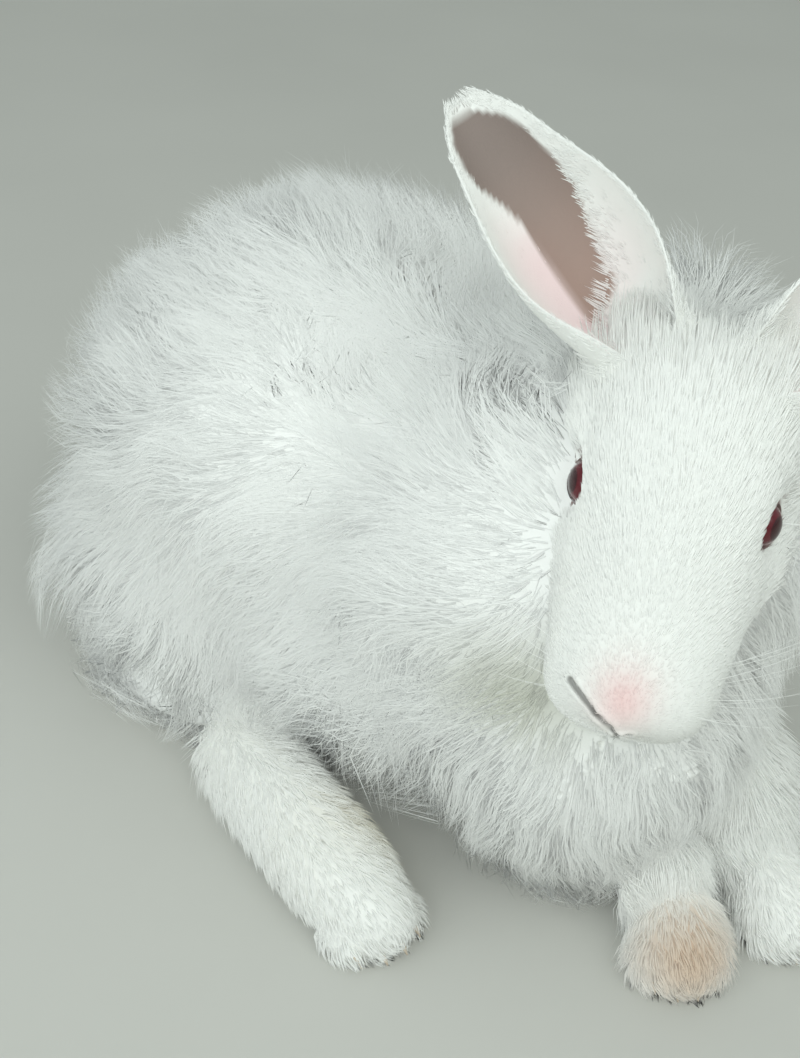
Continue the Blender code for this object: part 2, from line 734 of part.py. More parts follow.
def leg_forms():
    """For each leg its name, its foot, and the path and radii of the limb above it."""
    legs = []
    for name, side in SIDES.items():
        flip = Vector((side, 1.0, 1.0))
        foot = (HIND_HEEL * flip, HIND_TOES * flip, HIND_HALF_WIDTH, HIND_HEIGHT)
        path = [HOCK * flip, HOCK.lerp(KNEE, 0.5) * flip, KNEE * flip]
        radii = [SHANK_RADIUS * share for share in HIND_LIMB_SWELL]
        legs.append(("hind_leg_" + name, foot, path, radii))
        foot = (FORE_WRIST[name], FORE_TOES[name], FORE_HALF_WIDTH, FORE_HEIGHT)
        wrist = FORE_WRIST[name].lerp(FORE_TOES[name], FORE_LIMB_START) + UP * FORE_LIMB_HEIGHT
        path = [wrist, wrist.lerp(ELBOW[name], 0.5), ELBOW[name]]
        radii = [FORELEG_RADIUS * share for share in FORE_LIMB_SWELL]
        legs.append(("foreleg_" + name, foot, path, radii))
    return legs


def build_leg(name, foot, path, radii):
    """One leg, with a flat under its foot."""
    foot_mesh, *others = leg_meshes(foot, path, radii, 0.0)
    leg = add_object(name, foot_mesh, SHORT_FUR)
    combine(leg, "UNION", [add_object("leg_piece", mesh) for mesh in others])
    combine(leg, "DIFFERENCE", [floor_block()])
    return leg


def tail_form(room):
    """The outline of the tail with this much room round it: less than nothing gives its core."""
    line = TAIL_TIP - TAIL_ROOT
    turn = line.to_track_quat("Z", "Y").to_matrix().to_4x4()
    radii = (TAIL_RADIUS, TAIL_RADIUS * TAIL_FLATNESS, line.length * TAIL_LENGTH_SHARE)
    size = Matrix.Diagonal((*radii, 1.0))
    bm = bmesh.new()
    bmesh.ops.create_uvsphere(bm, u_segments=14, v_segments=10, radius=1.0)
    bm.transform(Matrix.Translation((TAIL_ROOT + TAIL_TIP) / 2) @ turn @ size)
    return grown(bm, room)


def build_tail(rng):
    """The tail: a core with short locks that point to its tip."""
    line = (TAIL_TIP - TAIL_ROOT).normalized()
    tail = add_object("tail", tail_form(-TAIL_LOCK_RISE), WOOL)

    def bare(root):
        share = (root - TAIL_ROOT).dot(line) / (TAIL_TIP - TAIL_ROOT).length
        return share < TAIL_LOCK_FIRST or share > TAIL_LOCK_LAST

    edge = (TAIL_TIP, line)
    core = tail_form(-TAIL_LOCK_RISE)
    locks = locks_on(core, lambda point: line, edge, bare, rng, TAIL_LOCK_SCALE, TAIL_LOCK_RISE)
    combine(tail, "UNION", locks)
    return tail


def room_for_legs():
    """Cutters that leave the gap round every leg."""
    meshes = []
    for _, foot, path, radii in leg_forms():
        meshes += leg_meshes(foot, path, radii, LEG_ROOM)
    return [add_object("leg_room", mesh) for mesh in meshes]


def near_any(trees, point, reach):
    """Whether the point is this near to any of the surfaces."""
    return any(tree.find_nearest(point, reach)[0] is not None for tree in trees)


def build_wool(name, beyond, lie, smooth_trees, rng):
    """A node of wool: its core, with the locks on it, up to the plane where it meets the other."""
    normal = COLLAR_NORMAL * beyond
    point = COLLAR - normal * (GAP / 2)
    wool = add_object(name, coat_core(28, 22), WOOL)
    combine(wool, "DIFFERENCE", [floor_block(), all_beyond(point, normal)])

    def bare(root):
        at_collar = (root - point).dot(normal) > -LOCK_CLEAR_OF_COLLAR
        return at_collar or near_any(smooth_trees, root, LOCK_CLEAR_OF_SMOOTH)

    combine(wool, "UNION", locks_on(coat_core(28, 22), lie, (point, normal), bare, rng))
    combine(wool, "DIFFERENCE", [floor_block(), all_beyond(point, normal)])
    combine(wool, "DIFFERENCE", room_for_legs())
    combine(wool, "DIFFERENCE", [head_room()])
    combine(wool, "DIFFERENCE", [ear_sheet(side, EAR_ROOM) for side in SIDES.values()])
    return wool


def build_rabbit():
    """Every node of the rabbit."""
    rng = random.Random(SEED)
    head = build_head()
    ears = [build_ear(name, side) for name, side in SIDES.items()]
    eyes = [add_object("eye_" + name, eye_ball(side, EYE_RADIUS), EYE_RED) for name, side in SIDES.items()]
    legs = [build_leg(*form) for form in leg_forms()]
    tail = build_tail(rng)
    trees = [BVHTree.FromBMesh(head_form()), BVHTree.FromBMesh(tail_form(0.0))]
    for obj in ears:
        bm = bmesh.new()
        bm.from_mesh(obj.data)
        trees.append(BVHTree.FromBMesh(bm))
        bm.free()
    torso = build_wool("torso", 1.0, torso_lie, trees, rng)
    neck = build_wool("neck", -1.0, neck_lie, trees, rng)
    combine(torso, "DIFFERENCE", [add_object("tail_room", tail_form(TAIL_ROOM))])
    for obj in [head, torso, neck, tail] + ears + eyes + legs:
        smooth_shade(obj)


build_rabbit()
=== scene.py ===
"""The angora rabbit's looks: one skin over the solids, its coat as mesh tufts, eyes, claws and whiskers."""

import math

import bmesh
import bpy
import numpy as np
from mathutils import Matrix, Vector
from mathutils.bvhtree import BVHTree
from mathutils.kdtree import KDTree


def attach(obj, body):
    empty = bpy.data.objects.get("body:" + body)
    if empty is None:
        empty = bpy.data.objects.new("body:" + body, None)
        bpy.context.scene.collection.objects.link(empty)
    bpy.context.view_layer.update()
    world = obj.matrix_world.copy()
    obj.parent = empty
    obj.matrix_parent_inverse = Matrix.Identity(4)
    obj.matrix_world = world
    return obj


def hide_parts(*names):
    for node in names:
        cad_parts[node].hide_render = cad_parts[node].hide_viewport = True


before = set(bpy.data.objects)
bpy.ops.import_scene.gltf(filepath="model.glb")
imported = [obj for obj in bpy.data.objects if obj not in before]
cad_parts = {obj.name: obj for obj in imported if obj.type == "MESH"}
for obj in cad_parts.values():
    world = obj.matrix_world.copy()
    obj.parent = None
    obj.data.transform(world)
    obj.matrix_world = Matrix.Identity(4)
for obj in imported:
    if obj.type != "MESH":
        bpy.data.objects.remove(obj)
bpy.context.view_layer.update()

# Sizes of the solids, in metres and degrees: the tips of the wool lie on a blend of turned ellipsoids
COAT_FORMS = {
    "rump": ((0.000, 0.035, 0.088), (0.103, 0.106, 0.098), 0.0),
    "belly": ((0.000, -0.005, 0.042), (0.066, 0.105, 0.047), 0.0),
    "right haunch": ((-0.054, 0.044, 0.048), (0.056, 0.072, 0.056), 0.0),
    "left haunch": ((0.054, 0.044, 0.048), (0.056, 0.072, 0.056), 0.0),
    "right flank": ((-0.048, -0.030, 0.060), (0.044, 0.060, 0.050), 0.0),
    "left flank": ((0.048, -0.030, 0.060), (0.044, 0.060, 0.050), 0.0),
    "shoulders": ((0.000, -0.055, 0.092), (0.086, 0.098, 0.088), -20.0),
    "ruff": ((0.012, -0.090, 0.120), (0.082, 0.068, 0.072), -30.0),
    "breast": ((-0.020, -0.112, 0.072), (0.059, 0.055, 0.067), -30.0),
    "mane": ((0.060, -0.064, 0.148), (0.044, 0.042, 0.046), 0.0),
}
COAT_MIDDLE = np.array((0.0, -0.015, 0.085))
COAT_SOFTNESS = 0.004
COAT_STRETCH = np.array((1.0, 1.35, 1.0))
COAT_DEPTH = 0.019
CORE_FOOT = 0.012
CORE_SLOPE = 0.025
BREAST_START = -0.085
BREAST_SLOPE = 0.050
BREAST_SHARE = 0.45

EYE_MIDDLE = np.array((-0.016, -0.126, 0.155))
HEAD_TURN, HEAD_NOD, HEAD_ROLL = math.radians(60.0), math.radians(38.0), math.radians(3.0)
EYE_SIDE = 0.0222
EYE_RADIUS = 0.0086
EYE_LOOK = (0.22, 0.90, 0.36)

EAR_ROOT = (-0.0326, 0.0131, 0.0095)
EAR_LINE = (-0.597, 0.748, 0.280)
EAR_HOLLOW = (0.29, -0.05, 0.90)
EAR_LENGTH = 0.098
EAR_THICKNESS = 0.0022
EAR_ARMS = (
    (0.0, 0.0277), (0.12, 0.0313), (0.28, 0.0338), (0.5, 0.0311),
    (0.74, 0.0202), (0.93, 0.0110), (1.0, 0.0056),
)
EAR_CURLS = ((0.0, 138.0), (0.15, 115.0), (0.35, 88.0), (0.6, 72.0), (1.0, 40.0))
EAR_OUTER_MARGIN = 1.25
EAR_BEND = 0.006
STRIP_INNER = (
    (0.0, 0.2), (0.19, 0.2), (0.25, 0.03), (0.30, -0.18), (0.37, -0.27), (0.50, -0.38),
    (0.60, -0.53), (0.70, -0.64), (0.82, -0.72), (0.88, -0.65), (0.94, -0.45), (0.98, 0.0),
)
STRIP_OUTER = (
    (0.0, 0.2), (0.19, 0.2), (0.33, 0.19), (0.44, 0.19), (0.58, 0.21), (0.68, 0.37),
    (0.82, 0.82), (0.96, 0.85), (0.98, 0.7),
)

TAIL_ROOT = np.array((0.0, 0.118, 0.046))
TAIL_TIP = np.array((0.0, 0.163, 0.083))
FEET = {
    "hind_leg_right": ((-0.084, 0.004, 0.0), (-0.098, -0.110, 0.0), 0.0175),
    "hind_leg_left": ((0.084, 0.004, 0.0), (0.098, -0.110, 0.0), 0.0175),
    "foreleg_right": ((-0.012, -0.146, 0.0), (-0.038, -0.181, 0.0), 0.0150),
    "foreleg_left": ((0.022, -0.154, 0.0), (0.004, -0.196, 0.0), 0.0150),
}
TOE_PLACES = (-0.66, -0.22, 0.22, 0.66)
SIDES = {"right": -1.0, "left": 1.0}

rng = np.random.default_rng(7)
WOOL_COUNT, TAIL_COUNT, HEAD_COUNT, EAR_COUNT, FRINGE_COUNT = 54500, 3600, 22000, 6200, 1300
LEG_COUNT = {"hind": 6500, "foreleg": 4000}
WOOL_LENGTH, TAIL_LENGTHS = 0.036, (0.012, 0.024)
HALF_WIDTHS = {"fine": (0.00010, 0.00017), "under": (0.00026, 0.00042), "tail": (0.00016, 0.00032)}
FINE_SHARE, LONG_SHARE = 0.75, 0.20
LOCK_SIZE, WISP_SIZE = 0.013, 0.008
CREST_MIDDLE, CREST_SIZE = np.array((0.062, -0.060, 0.190)), 0.045
MANE_MIDDLE, MANE_SIZE = np.array((0.000, -0.155, 0.100)), np.array((0.035, 0.040, 0.040))


# Small helpers


def unit(ways):
    """Directions of length 1."""
    return ways / np.maximum(np.linalg.norm(ways, axis=-1, keepdims=True), 1e-12)


def flat_on(ways, normals):
    """The directions laid flat on the surface."""
    return unit(ways - normals * np.sum(ways * normals, axis=-1, keepdims=True))


def ramp(values, start, end):
    """0 before the start, 1 after the end, and smooth between them."""
    t = np.clip((values - start) / (end - start), 0.0, 1.0)
    return t * t * (3.0 - 2.0 * t)


def linear(code):
    """An sRGB hex colour as linear values with alpha."""
    parts = [int(code[i : i + 2], 16) / 255.0 for i in (0, 2, 4)]
    return tuple(p / 12.92 if p <= 0.04045 else ((p + 0.055) / 1.055) ** 2.4 for p in parts) + (1.0,)


def along(stations, s):
    """The values at s of a smooth curve through (s, value) stations."""
    place = np.array([station[0] for station in stations])
    value = np.array([station[1] for station in stations], float)
    slope = np.gradient(value, place)
    s = np.asarray(s, float)
    i = np.clip(np.searchsorted(place, s) - 1, 0, len(place) - 2)
    span = place[i + 1] - place[i]
    t = (s - place[i]) / span
    start = (2 * t**3 - 3 * t**2 + 1) * value[i] + (t**3 - 2 * t**2 + t) * span * slope[i]
    return start + (3 * t**2 - 2 * t**3) * value[i + 1] + (t**3 - t**2) * span * slope[i + 1]


def linked(name, data):
    """A new object of this data in the scene."""
    obj = bpy.data.objects.new(name, data)
    bpy.context.scene.collection.objects.link(obj)
    return obj


def mesh_object(name, points, faces):
    """A mesh object from arrays of points and of faces with one number of corners."""
    mesh = bpy.data.meshes.new(name)
    mesh.vertices.add(len(points))
    mesh.vertices.foreach_set("co", np.ascontiguousarray(points, np.float32).ravel())
    mesh.loops.add(faces.size)
    mesh.loops.foreach_set("vertex_index", np.ascontiguousarray(faces, np.int32).ravel())
    mesh.polygons.add(len(faces))
    mesh.polygons.foreach_set("loop_start", np.arange(len(faces), dtype=np.int32) * faces.shape[1])
    mesh.update(calc_edges=True)
    return linked(name, mesh)


def object_of(bm, name):
    """A mesh object of the edited mesh, which is used up."""
    mesh = bpy.data.meshes.new(name)
    bm.to_mesh(mesh)
    bm.free()
    return linked(name, mesh)


def smooth(obj):
    """Shades all faces of the object smooth."""
    obj.data.polygons.foreach_set("use_smooth", np.ones(len(obj.data.polygons), bool))


def part_of_rabbit(obj, slot, *nodes):
    """Fixes the piece to the body and hides the solids that it stands for."""
    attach(obj, "root")
    if nodes:
        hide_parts(*nodes)


def points_of(obj):
    """The object's points as an array."""
    co = np.empty(len(obj.data.vertices) * 3, np.float32)
    obj.data.vertices.foreach_get("co", co)
    return co.reshape(-1, 3).astype(float)


def apply(obj, kind, **settings):
    """Adds a modifier with these settings and applies it."""
    modifier = obj.modifiers.new(kind.lower(), kind)
    for key, value in settings.items():
        setattr(modifier, key, value)
    bpy.context.view_layer.objects.active = obj
    bpy.ops.object.modifier_apply(modifier=modifier.name)


def nearest_index(points, cloud):
    """For each point the number of the cloud's point that is nearest to it."""
    tree = KDTree(len(cloud))
    for i, place in enumerate(cloud):
        tree.insert(Vector(place), i)
    tree.balance()
    return np.array([tree.find(Vector(point))[1] for point in points])


def foot_of(name):
    """One foot's heel, toes and half width, and the directions to its toes and across it."""
    heel, toes, half_width = (np.array(value) for value in FEET[name])
    ahead = unit(toes - heel)
    return heel, toes, half_width, ahead, np.cross((0.0, 0.0, 1.0), ahead)


# The coat's form


def outside_coat(points):
    """How far each point is outside the tips of the wool, less than nothing inside."""
    total = np.zeros(len(points))
    for centre, radii, turn in COAT_FORMS.values():
        c, s = math.cos(math.radians(turn)), math.sin(math.radians(turn))
        x, y, z = (points - np.array(centre)).T
        local = np.stack([c * x + s * y, c * y - s * x, z], axis=1)
        near = np.linalg.norm(local / np.array(radii), axis=1) + 1e-9
        steep = np.linalg.norm(local / np.array(radii) ** 2, axis=1) + 1e-9
        total += np.exp(-np.clip(near * (near - 1.0) / steep / COAT_SOFTNESS, -60, 60))
    return -COAT_SOFTNESS * np.log(total)


def coat_normals(points):
    """The way out of the coat at each point."""
    step = 0.0015
    ways = [outside_coat(points + step * axis) - outside_coat(points - step * axis) for axis in np.eye(3)]
    return unit(np.stack(ways, axis=1))


def coat_depth(points):
    """How deep the wool is at each point: less over the smooth breast, and nothing near the floor."""
    foot = np.clip((points[:, 2] - CORE_FOOT) / CORE_SLOPE, 0.0, 1.0)
    breast = np.clip((BREAST_START - points[:, 1]) / BREAST_SLOPE, 0.0, 1.0)
    return COAT_DEPTH * foot * (1.0 - BREAST_SHARE * breast)


def coat_core(around, rings):
    """The form of the body under its wool."""
    bm = bmesh.new()
    bmesh.ops.create_uvsphere(bm, u_segments=around, v_segments=rings, radius=1.0)
    bm.transform(Matrix.Rotation(math.radians(90.0), 4, "X"))
    ways = unit(np.array([vert.co[:] for vert in bm.verts]) * COAT_STRETCH)
    low, high = np.zeros(len(ways)), np.full(len(ways), 0.3)
    for _ in range(26):
        middle = (low + high) / 2
        points = COAT_MIDDLE + ways * middle[:, None]
        inside = outside_coat(points) < -coat_depth(points)
        low, high = np.where(inside, middle, low), np.where(inside, high, middle)
    points = COAT_MIDDLE + ways * low[:, None]
    points[:, 2] = np.maximum(points[:, 2], 0.0004)
    for vert, point in zip(bm.verts, points):
        vert.co = point
    return object_of(bm, "core")


# The head's own frame: F toward the nose, L to its left, U up, from between the eyes


def head_axes():
    """The head's three directions, after its turn, its nod and its roll."""
    level = math.cos(HEAD_NOD)
    ahead = np.array((-math.sin(HEAD_TURN) * level, -math.cos(HEAD_TURN) * level, -math.sin(HEAD_NOD)))
    left = np.array((math.cos(HEAD_TURN), -math.sin(HEAD_TURN), 0.0))
    up = np.cross(ahead, left)
    rolled_left = left * math.cos(HEAD_ROLL) - up * math.sin(HEAD_ROLL)
    return np.stack([ahead, rolled_left, left * math.sin(HEAD_ROLL) + up * math.cos(HEAD_ROLL)])


HEAD = head_axes()


def head_way(way, side=1.0):
    """A direction of the head's frame, on its left or right, in the rabbit's frame."""
    return np.asarray(way, float) * (1.0, side, 1.0) @ HEAD


def head_point(place, side=1.0):
    """A point of the head's frame in the rabbit's frame."""
    return EYE_MIDDLE + head_way(place, side)


def in_head(points):
    """Points of the rabbit's frame in the head's frame."""
    return (points - EYE_MIDDLE) @ HEAD.T


def ear_axes(side):
    """The ear's directions: to its tip, to its outer margin, and out of its hollow."""
    line = unit(head_way(EAR_LINE, side))
    hollow = head_way(EAR_HOLLOW, side)
    hollow = unit(hollow - line * (hollow @ line))
    return line, np.cross(line, hollow) * side, hollow


def ear_points(side, u, v):
    """Points of the ear's sheet: u runs from root to tip, and v from the inner margin to the outer one."""
    line, outward, hollow = ear_axes(side)
    arm = along(EAR_ARMS, u)
    curl = np.radians(along(EAR_CURLS, u)) * np.where(v > 0, EAR_OUTER_MARGIN, 1.0)
    turn = np.abs(v) * curl
    across = np.sign(v) * arm * np.sin(turn) / curl
    lift = arm * (1.0 - np.cos(turn)) / curl * (0.30 + 0.70 * ramp(u, -0.04, 0.22))
    lift = lift - EAR_BEND * np.sin(np.pi * u)
    parts = [EAR_LENGTH * u, across, lift]
    return head_point(EAR_ROOT, side) + sum(p[..., None] * a for p, a in zip(parts, (line, outward, hollow)))


def ear_hollow(side, u, v):
    """The way into the ear's hollow, square to its sheet."""
    low, high = np.clip(u - 0.01, 0, 1), np.clip(u + 0.01, 0, 1)
    along_ear = ear_points(side, high, v) - ear_points(side, low, v)
    over_ear = ear_points(side, u, v + 0.01) - ear_points(side, u, v - 0.01)
    return unit(np.cross(over_ear, along_ear)) * side


# Camera and lights


CAMERA_PLACE = (-0.3348, -0.3344, 0.4039)
CAMERA_TURN, CAMERA_PITCH, CAMERA_ROLL = math.radians(45), math.radians(35.47), math.atan2(0.0596, 0.8123)
FOCAL_PIXELS, PICTURE_HEIGHT = 1557.0, 1058.0
LIGHT_TARGET = Vector((0.0, -0.03, 0.09))


def make_camera():
    """Looks down at the rabbit from its front right, as steeply as the photo does."""
    level = math.cos(CAMERA_PITCH) * math.sin(CAMERA_TURN)
    look = np.array((level, level, -math.sin(CAMERA_PITCH)))
    right = unit(np.cross(look, (0.0, 0.0, 1.0)))
    down = np.cross(look, right)
    c, s = math.cos(CAMERA_ROLL), math.sin(CAMERA_ROLL)
    right, down = c * right - s * down, s * right + c * down
    lens = bpy.data.cameras.new("camera")
    lens.sensor_width = 36.0
    lens.lens = 36.0 * FOCAL_PIXELS / PICTURE_HEIGHT
    lens.clip_start = 0.02
    camera = linked("camera", lens)
    rows = np.stack([right, -down, -look, CAMERA_PLACE], axis=1).tolist()
    camera.matrix_world = Matrix(rows + [[0, 0, 0, 1]])
    bpy.context.scene.camera = camera


def make_light(name, place, size, watts, tint):
    """A square soft light that faces the rabbit."""
    lamp = bpy.data.lights.new(name, "AREA")
    lamp.size = size
    lamp.energy = watts
    lamp.color = linear(tint)[:3]
    obj = linked(name, lamp)
    obj.location = place
    obj.rotation_euler = (LIGHT_TARGET - Vector(place)).to_track_quat("-Z", "Y").to_euler()


make_camera()


# The skin: every part of the body as a smooth closed form, fused into one
HEAD_FORM = {
    "reach": (0.0665, 0.050),
    "widths": (
        (0.0, 0.046), (0.07, 0.039), (0.15, 0.0334), (0.27, 0.0296),
        (0.54, 0.0306), (0.71, 0.037), (1.0, 0.064),
    ),
    "heights": ((0.0, 0.045), (0.06, 0.0335), (0.15, 0.0268), (0.4, 0.0281), (0.7, 0.035), (1.0, 0.045)),
    "middles": ((0.0, -0.0155), (0.15, -0.012), (0.4, -0.0085), (0.7, -0.004), (1.0, -0.003)),
}
# Each bulge: its middle, how far it spreads, and its push
HEAD_BULGES = {
    "whisker pad": ((0.0545, 0.013, -0.014), 0.012, (0.003, 0.003, 0.0)),
    "cheek": ((0.008, 0.029, -0.022), 0.020, (0.0, 0.004, -0.002)),
    "brow": ((0.002, 0.024, 0.016), 0.011, (0.0, 0.002, 0.002)),
    "eye pit": ((0.002, 0.031, 0.003), 0.011, (0.0, -0.0035, -0.001)),
    "chin": ((0.042, 0.0, -0.0335), 0.013, (0.0015, 0.0, -0.001)),
    "nose": ((0.0665, 0.0, -0.005), 0.007, (0.00075, 0.0, 0.0005)),
}
FACE_MIDDLE = np.array((0.040, 0.0, -0.012))
# Each line of the face: its path, its width and depth, how dark its painted shade is, and the sides that have
# it
# The lines are sunk and darkened with painted shade; the nose fold is only on the right, where its shade
# falls.
FACE_LINES = {
    "nostril": (
        ((0.0685, 0.0012, -0.0082), (0.0670, 0.0030, -0.0060), (0.0660, 0.0052, -0.0045)),
        0.0011, 0.0016, 0.95, ("right",),
    ),
    "far nostril": (((0.0690, 0.0008, -0.0090), (0.0684, 0.0032, -0.0084)), 0.0008, 0.0012, 0.6, ("left",)),
    "fold": (
        (
            (0.0660, 0.0052, -0.0045), (0.0628, 0.0102, -0.0026),
            (0.0607, 0.0130, -0.0020), (0.0579, 0.0162, -0.0019),
        ),
        0.0008, 0.0009, 0.8, ("right",),
    ),
    "cleft": (
        ((0.0685, 0.0, -0.0080), (0.0685, 0.0, -0.0130), (0.0675, 0.0, -0.0185), (0.0655, 0.0, -0.0225)),
        0.0006, 0.0009, 0.6, ("right",),
    ),
    "mouth": (
        ((0.0655, 0.0, -0.0225), (0.062, 0.006, -0.0265), (0.0535, 0.0125, -0.0295), (0.043, 0.017, -0.030)),
        0.0008, 0.0014, 0.9, ("right", "left"),
    ),
}
LID_LENGTH, LID_HEIGHT, LID_THICKNESS = 0.0072, 0.0058, 0.0006
SKIN_GRAIN = 0.0016
FACE_GRAIN_START = -0.012


def ball_of(name, surface, around, rings):
    """A ball whose points are moved to surface(s, angle), with s running from pole to pole."""
    bm = bmesh.new()
    bmesh.ops.create_uvsphere(bm, u_segments=around, v_segments=rings, radius=1.0)
    places = np.array([vert.co[:] for vert in bm.verts])
    s, angle = (1.0 - places[:, 2]) / 2.0, np.arctan2(places[:, 1], places[:, 0])
    for vert, point in zip(bm.verts, surface(s, angle)):
        vert.co = point
    if bm.calc_volume(signed=True) < 0:
        bmesh.ops.reverse_faces(bm, faces=bm.faces)
    return object_of(bm, name)


def swell_at(s):
    """The radius of a ball of radius 1 at s, where s runs from pole to pole."""
    return 2.0 * np.sqrt(np.clip(s * (1.0 - s), 0.0, None))


def head_surface(s, angle):
    """The head from the nose at 0 to the back of the skull at 1."""
    swell = swell_at(s)
    ahead, back = HEAD_FORM["reach"]
    across = np.cos(angle) * along(HEAD_FORM["widths"], s) * swell
    upward = along(HEAD_FORM["middles"], s) + np.sin(angle) * along(HEAD_FORM["heights"], s) * swell
    place = np.stack([ahead - s * (ahead + back), across, upward], axis=1)
    moved = place.copy()
    for centre, spread, push in HEAD_BULGES.values():
        for side in SIDES.values():
            flip = np.array((1.0, side, 1.0))
            far = np.linalg.norm(place - centre * flip, axis=1) / spread
            moved += np.exp(-far * far)[:, None] * push * flip
    return head_point(moved)


def foot_surface(name):
    """A furry foot that lies on the floor from heel to toes."""
    heel, toes, half_width, _, side = foot_of(name)
    height = half_width * 1.8

    def surface(s, angle):
        swell = swell_at(s) ** 0.8
        width = half_width * along(((0.0, 0.86), (0.45, 0.84), (0.8, 1.02), (1.0, 1.0)), s) * swell
        rise = height * along(((0.0, 0.62), (0.5, 0.62), (0.8, 0.55), (1.0, 0.5)), s) * swell
        tall = np.where(np.sin(angle) > 0, rise, height * 0.5 * swell)
        points = heel + (toes - heel) * s[:, None] + side * (np.cos(angle) * width)[:, None]
        points[:, 2] += height * 0.36 + np.sin(angle) * tall
        return points

    return surface


def ellipsoid(name, middle, axes, radii, around=20, rings=14):
    """A closed ball with these radii along the three axes."""

    def surface(s, angle):
        ball = np.stack([np.cos(angle) * swell_at(s), np.sin(angle) * swell_at(s), 1.0 - 2.0 * s], axis=1)
        return middle + ball * radii @ np.asarray(axes)

    return ball_of(name, surface, around, rings)


def tube(path, radii, sides):
    """Points and triangles of a closed tube along the path."""
    path = np.asarray(path, float)
    ways = unit(np.gradient(path, axis=0))
    across = unit(np.cross(ways, (0.31, 0.17, 0.93)))
    lifted = np.cross(ways, across)
    turns = np.arange(sides) * 2 * math.pi / sides
    ring = np.cos(turns)[None, :, None] * across[:, None] + np.sin(turns)[None, :, None] * lifted[:, None]
    points = (path[:, None] + ring * np.asarray(radii)[:, None, None]).reshape(-1, 3)
    points = np.concatenate([points, path[:1], path[-1:]])
    first, last = len(points) - 2, len(points) - 1
    faces = []
    for j in range(sides):
        k = (j + 1) % sides
        for i in range(len(path) - 1):
            a, b, c, d = i * sides + j, (i + 1) * sides + j, (i + 1) * sides + k, i * sides + k
            faces += [(a, b, c), (a, c, d)]
        end = (len(path) - 1) * sides
        faces += [(first, j, k), (last, end + k, end + j)]
    return points, np.array(faces)[:, ::-1]


def limb_paths():
    """For each leg the path and radii of the limb above its foot."""
    paths = {}
    for name, side in SIDES.items():
        flip = (side, 1.0, 1.0)
        hock, knee = np.array((0.078, 0.006, 0.013)) * flip, np.array((0.058, -0.014, 0.042)) * flip
        paths["hind_leg_" + name] = ([hock, (hock + knee) / 2, knee], (0.0084, 0.014, 0.0098))
        wrist, toes = foot_of("foreleg_" + name)[:2]
        elbow = np.array({"right": (-0.018, -0.118, 0.062), "left": (0.026, -0.122, 0.062)}[name])
        wrist = wrist + (toes - wrist) * 0.25 + (0.0, 0.0, 0.012)
        paths["foreleg_" + name] = ([wrist, (wrist + elbow) / 2, elbow], (0.0116, 0.0165, 0.0132))
    return paths


LIMBS = limb_paths()


def leg_forms(name):
    """The foot, toes and limb of one leg."""
    _, toes, half_width, ahead, side = foot_of(name)
    forms = [ball_of(name, foot_surface(name), 36, 28)]
    for place in TOE_PLACES:
        middle = toes + side * (place * half_width) - ahead * (0.010 + abs(place) * 0.008)
        middle = middle + (0.0, 0.0, 0.0054)
        forms.append(ellipsoid(name + "_toe", middle, (side, (0, 0, 1), ahead), (0.0052, 0.0068, 0.0100)))
    forms.append(mesh_object(name + "_limb", *tube(*LIMBS[name], 16)))
    return forms


def ear_sheet(name, side):
    """The curled sheet of one ear, which thins out to its margins and its tip."""
    u, v = np.meshgrid(np.linspace(0, 1, 54), np.linspace(-1, 1, 36), indexing="ij")
    middle = ear_points(side, u, v)
    hollow = ear_hollow(side, u, v)
    half = EAR_THICKNESS / 2 * (1.0 - 0.75 * ramp(np.abs(v), 0.72, 1.0)) * (1.0 - 0.6 * ramp(u, 0.85, 1.0))
    points = np.stack([middle + hollow * half[..., None], middle - hollow * half[..., None]]).reshape(-1, 3)
    index = np.arange(u.size).reshape(u.shape)
    sheet = np.stack([index[:-1, :-1], index[1:, :-1], index[1:, 1:], index[:-1, 1:]], axis=-1).reshape(-1, 4)
    border = np.concatenate([index[:, 0], index[-1, 1:], index[-2::-1, -1], index[0, -2::-1]])
    rim = np.stack([border[:-1], border[1:], border[1:] + u.size, border[:-1] + u.size], axis=1)
    faces = np.concatenate([sheet[:, ::-1], sheet + u.size, rim])
    ear = mesh_object(name, points, faces)
    bm = bmesh.new()
    bm.from_mesh(ear.data)
    bmesh.ops.recalc_face_normals(bm, faces=bm.faces)
    if bm.calc_volume(signed=True) < 0:
        bmesh.ops.reverse_faces(bm, faces=bm.faces)
    bm.to_mesh(ear.data)
    bm.free()
    return ear


def joined(name, objects):
    """One object of all these."""
    bpy.ops.object.select_all(action="DESELECT")
    for obj in objects:
        obj.select_set(True)
    bpy.context.view_layer.objects.active = objects[0]
    bpy.ops.object.join()
    objects[0].name = name
    return objects[0]


def tree_of(objects):
    """A search tree over the faces of these objects."""
    points, faces, start = [], [], 0
    for obj in objects:
        points += [vert.co[:] for vert in obj.data.vertices]
        faces += [[start + i for i in face.vertices] for face in obj.data.polygons]
        start = len(points)
    return BVHTree.FromPolygons(points, faces)


def eye_axes(side):
    """One eye's centre, and its directions: out of the pupil, along the slit of its lids, and over it."""
    look = unit(head_way(EYE_LOOK, side))
    length = unit(HEAD[0] - look * (HEAD[0] @ look))
    return head_point((0.0, EYE_SIDE, 0.0), side), look, length, np.cross(look, length)


def lid_place(points, side):
    """How far round the slit of the lids each point is, 1 on the rim, and its way from the eye's centre."""
    centre, look, length, height = eye_axes(side)
    away = points - centre
    ring = np.hypot(away @ length / LID_LENGTH, away @ height / LID_HEIGHT)
    out = away @ look
    return np.where((out > -0.002) & (np.linalg.norm(away, axis=1) < 0.03), ring, 9.0), away


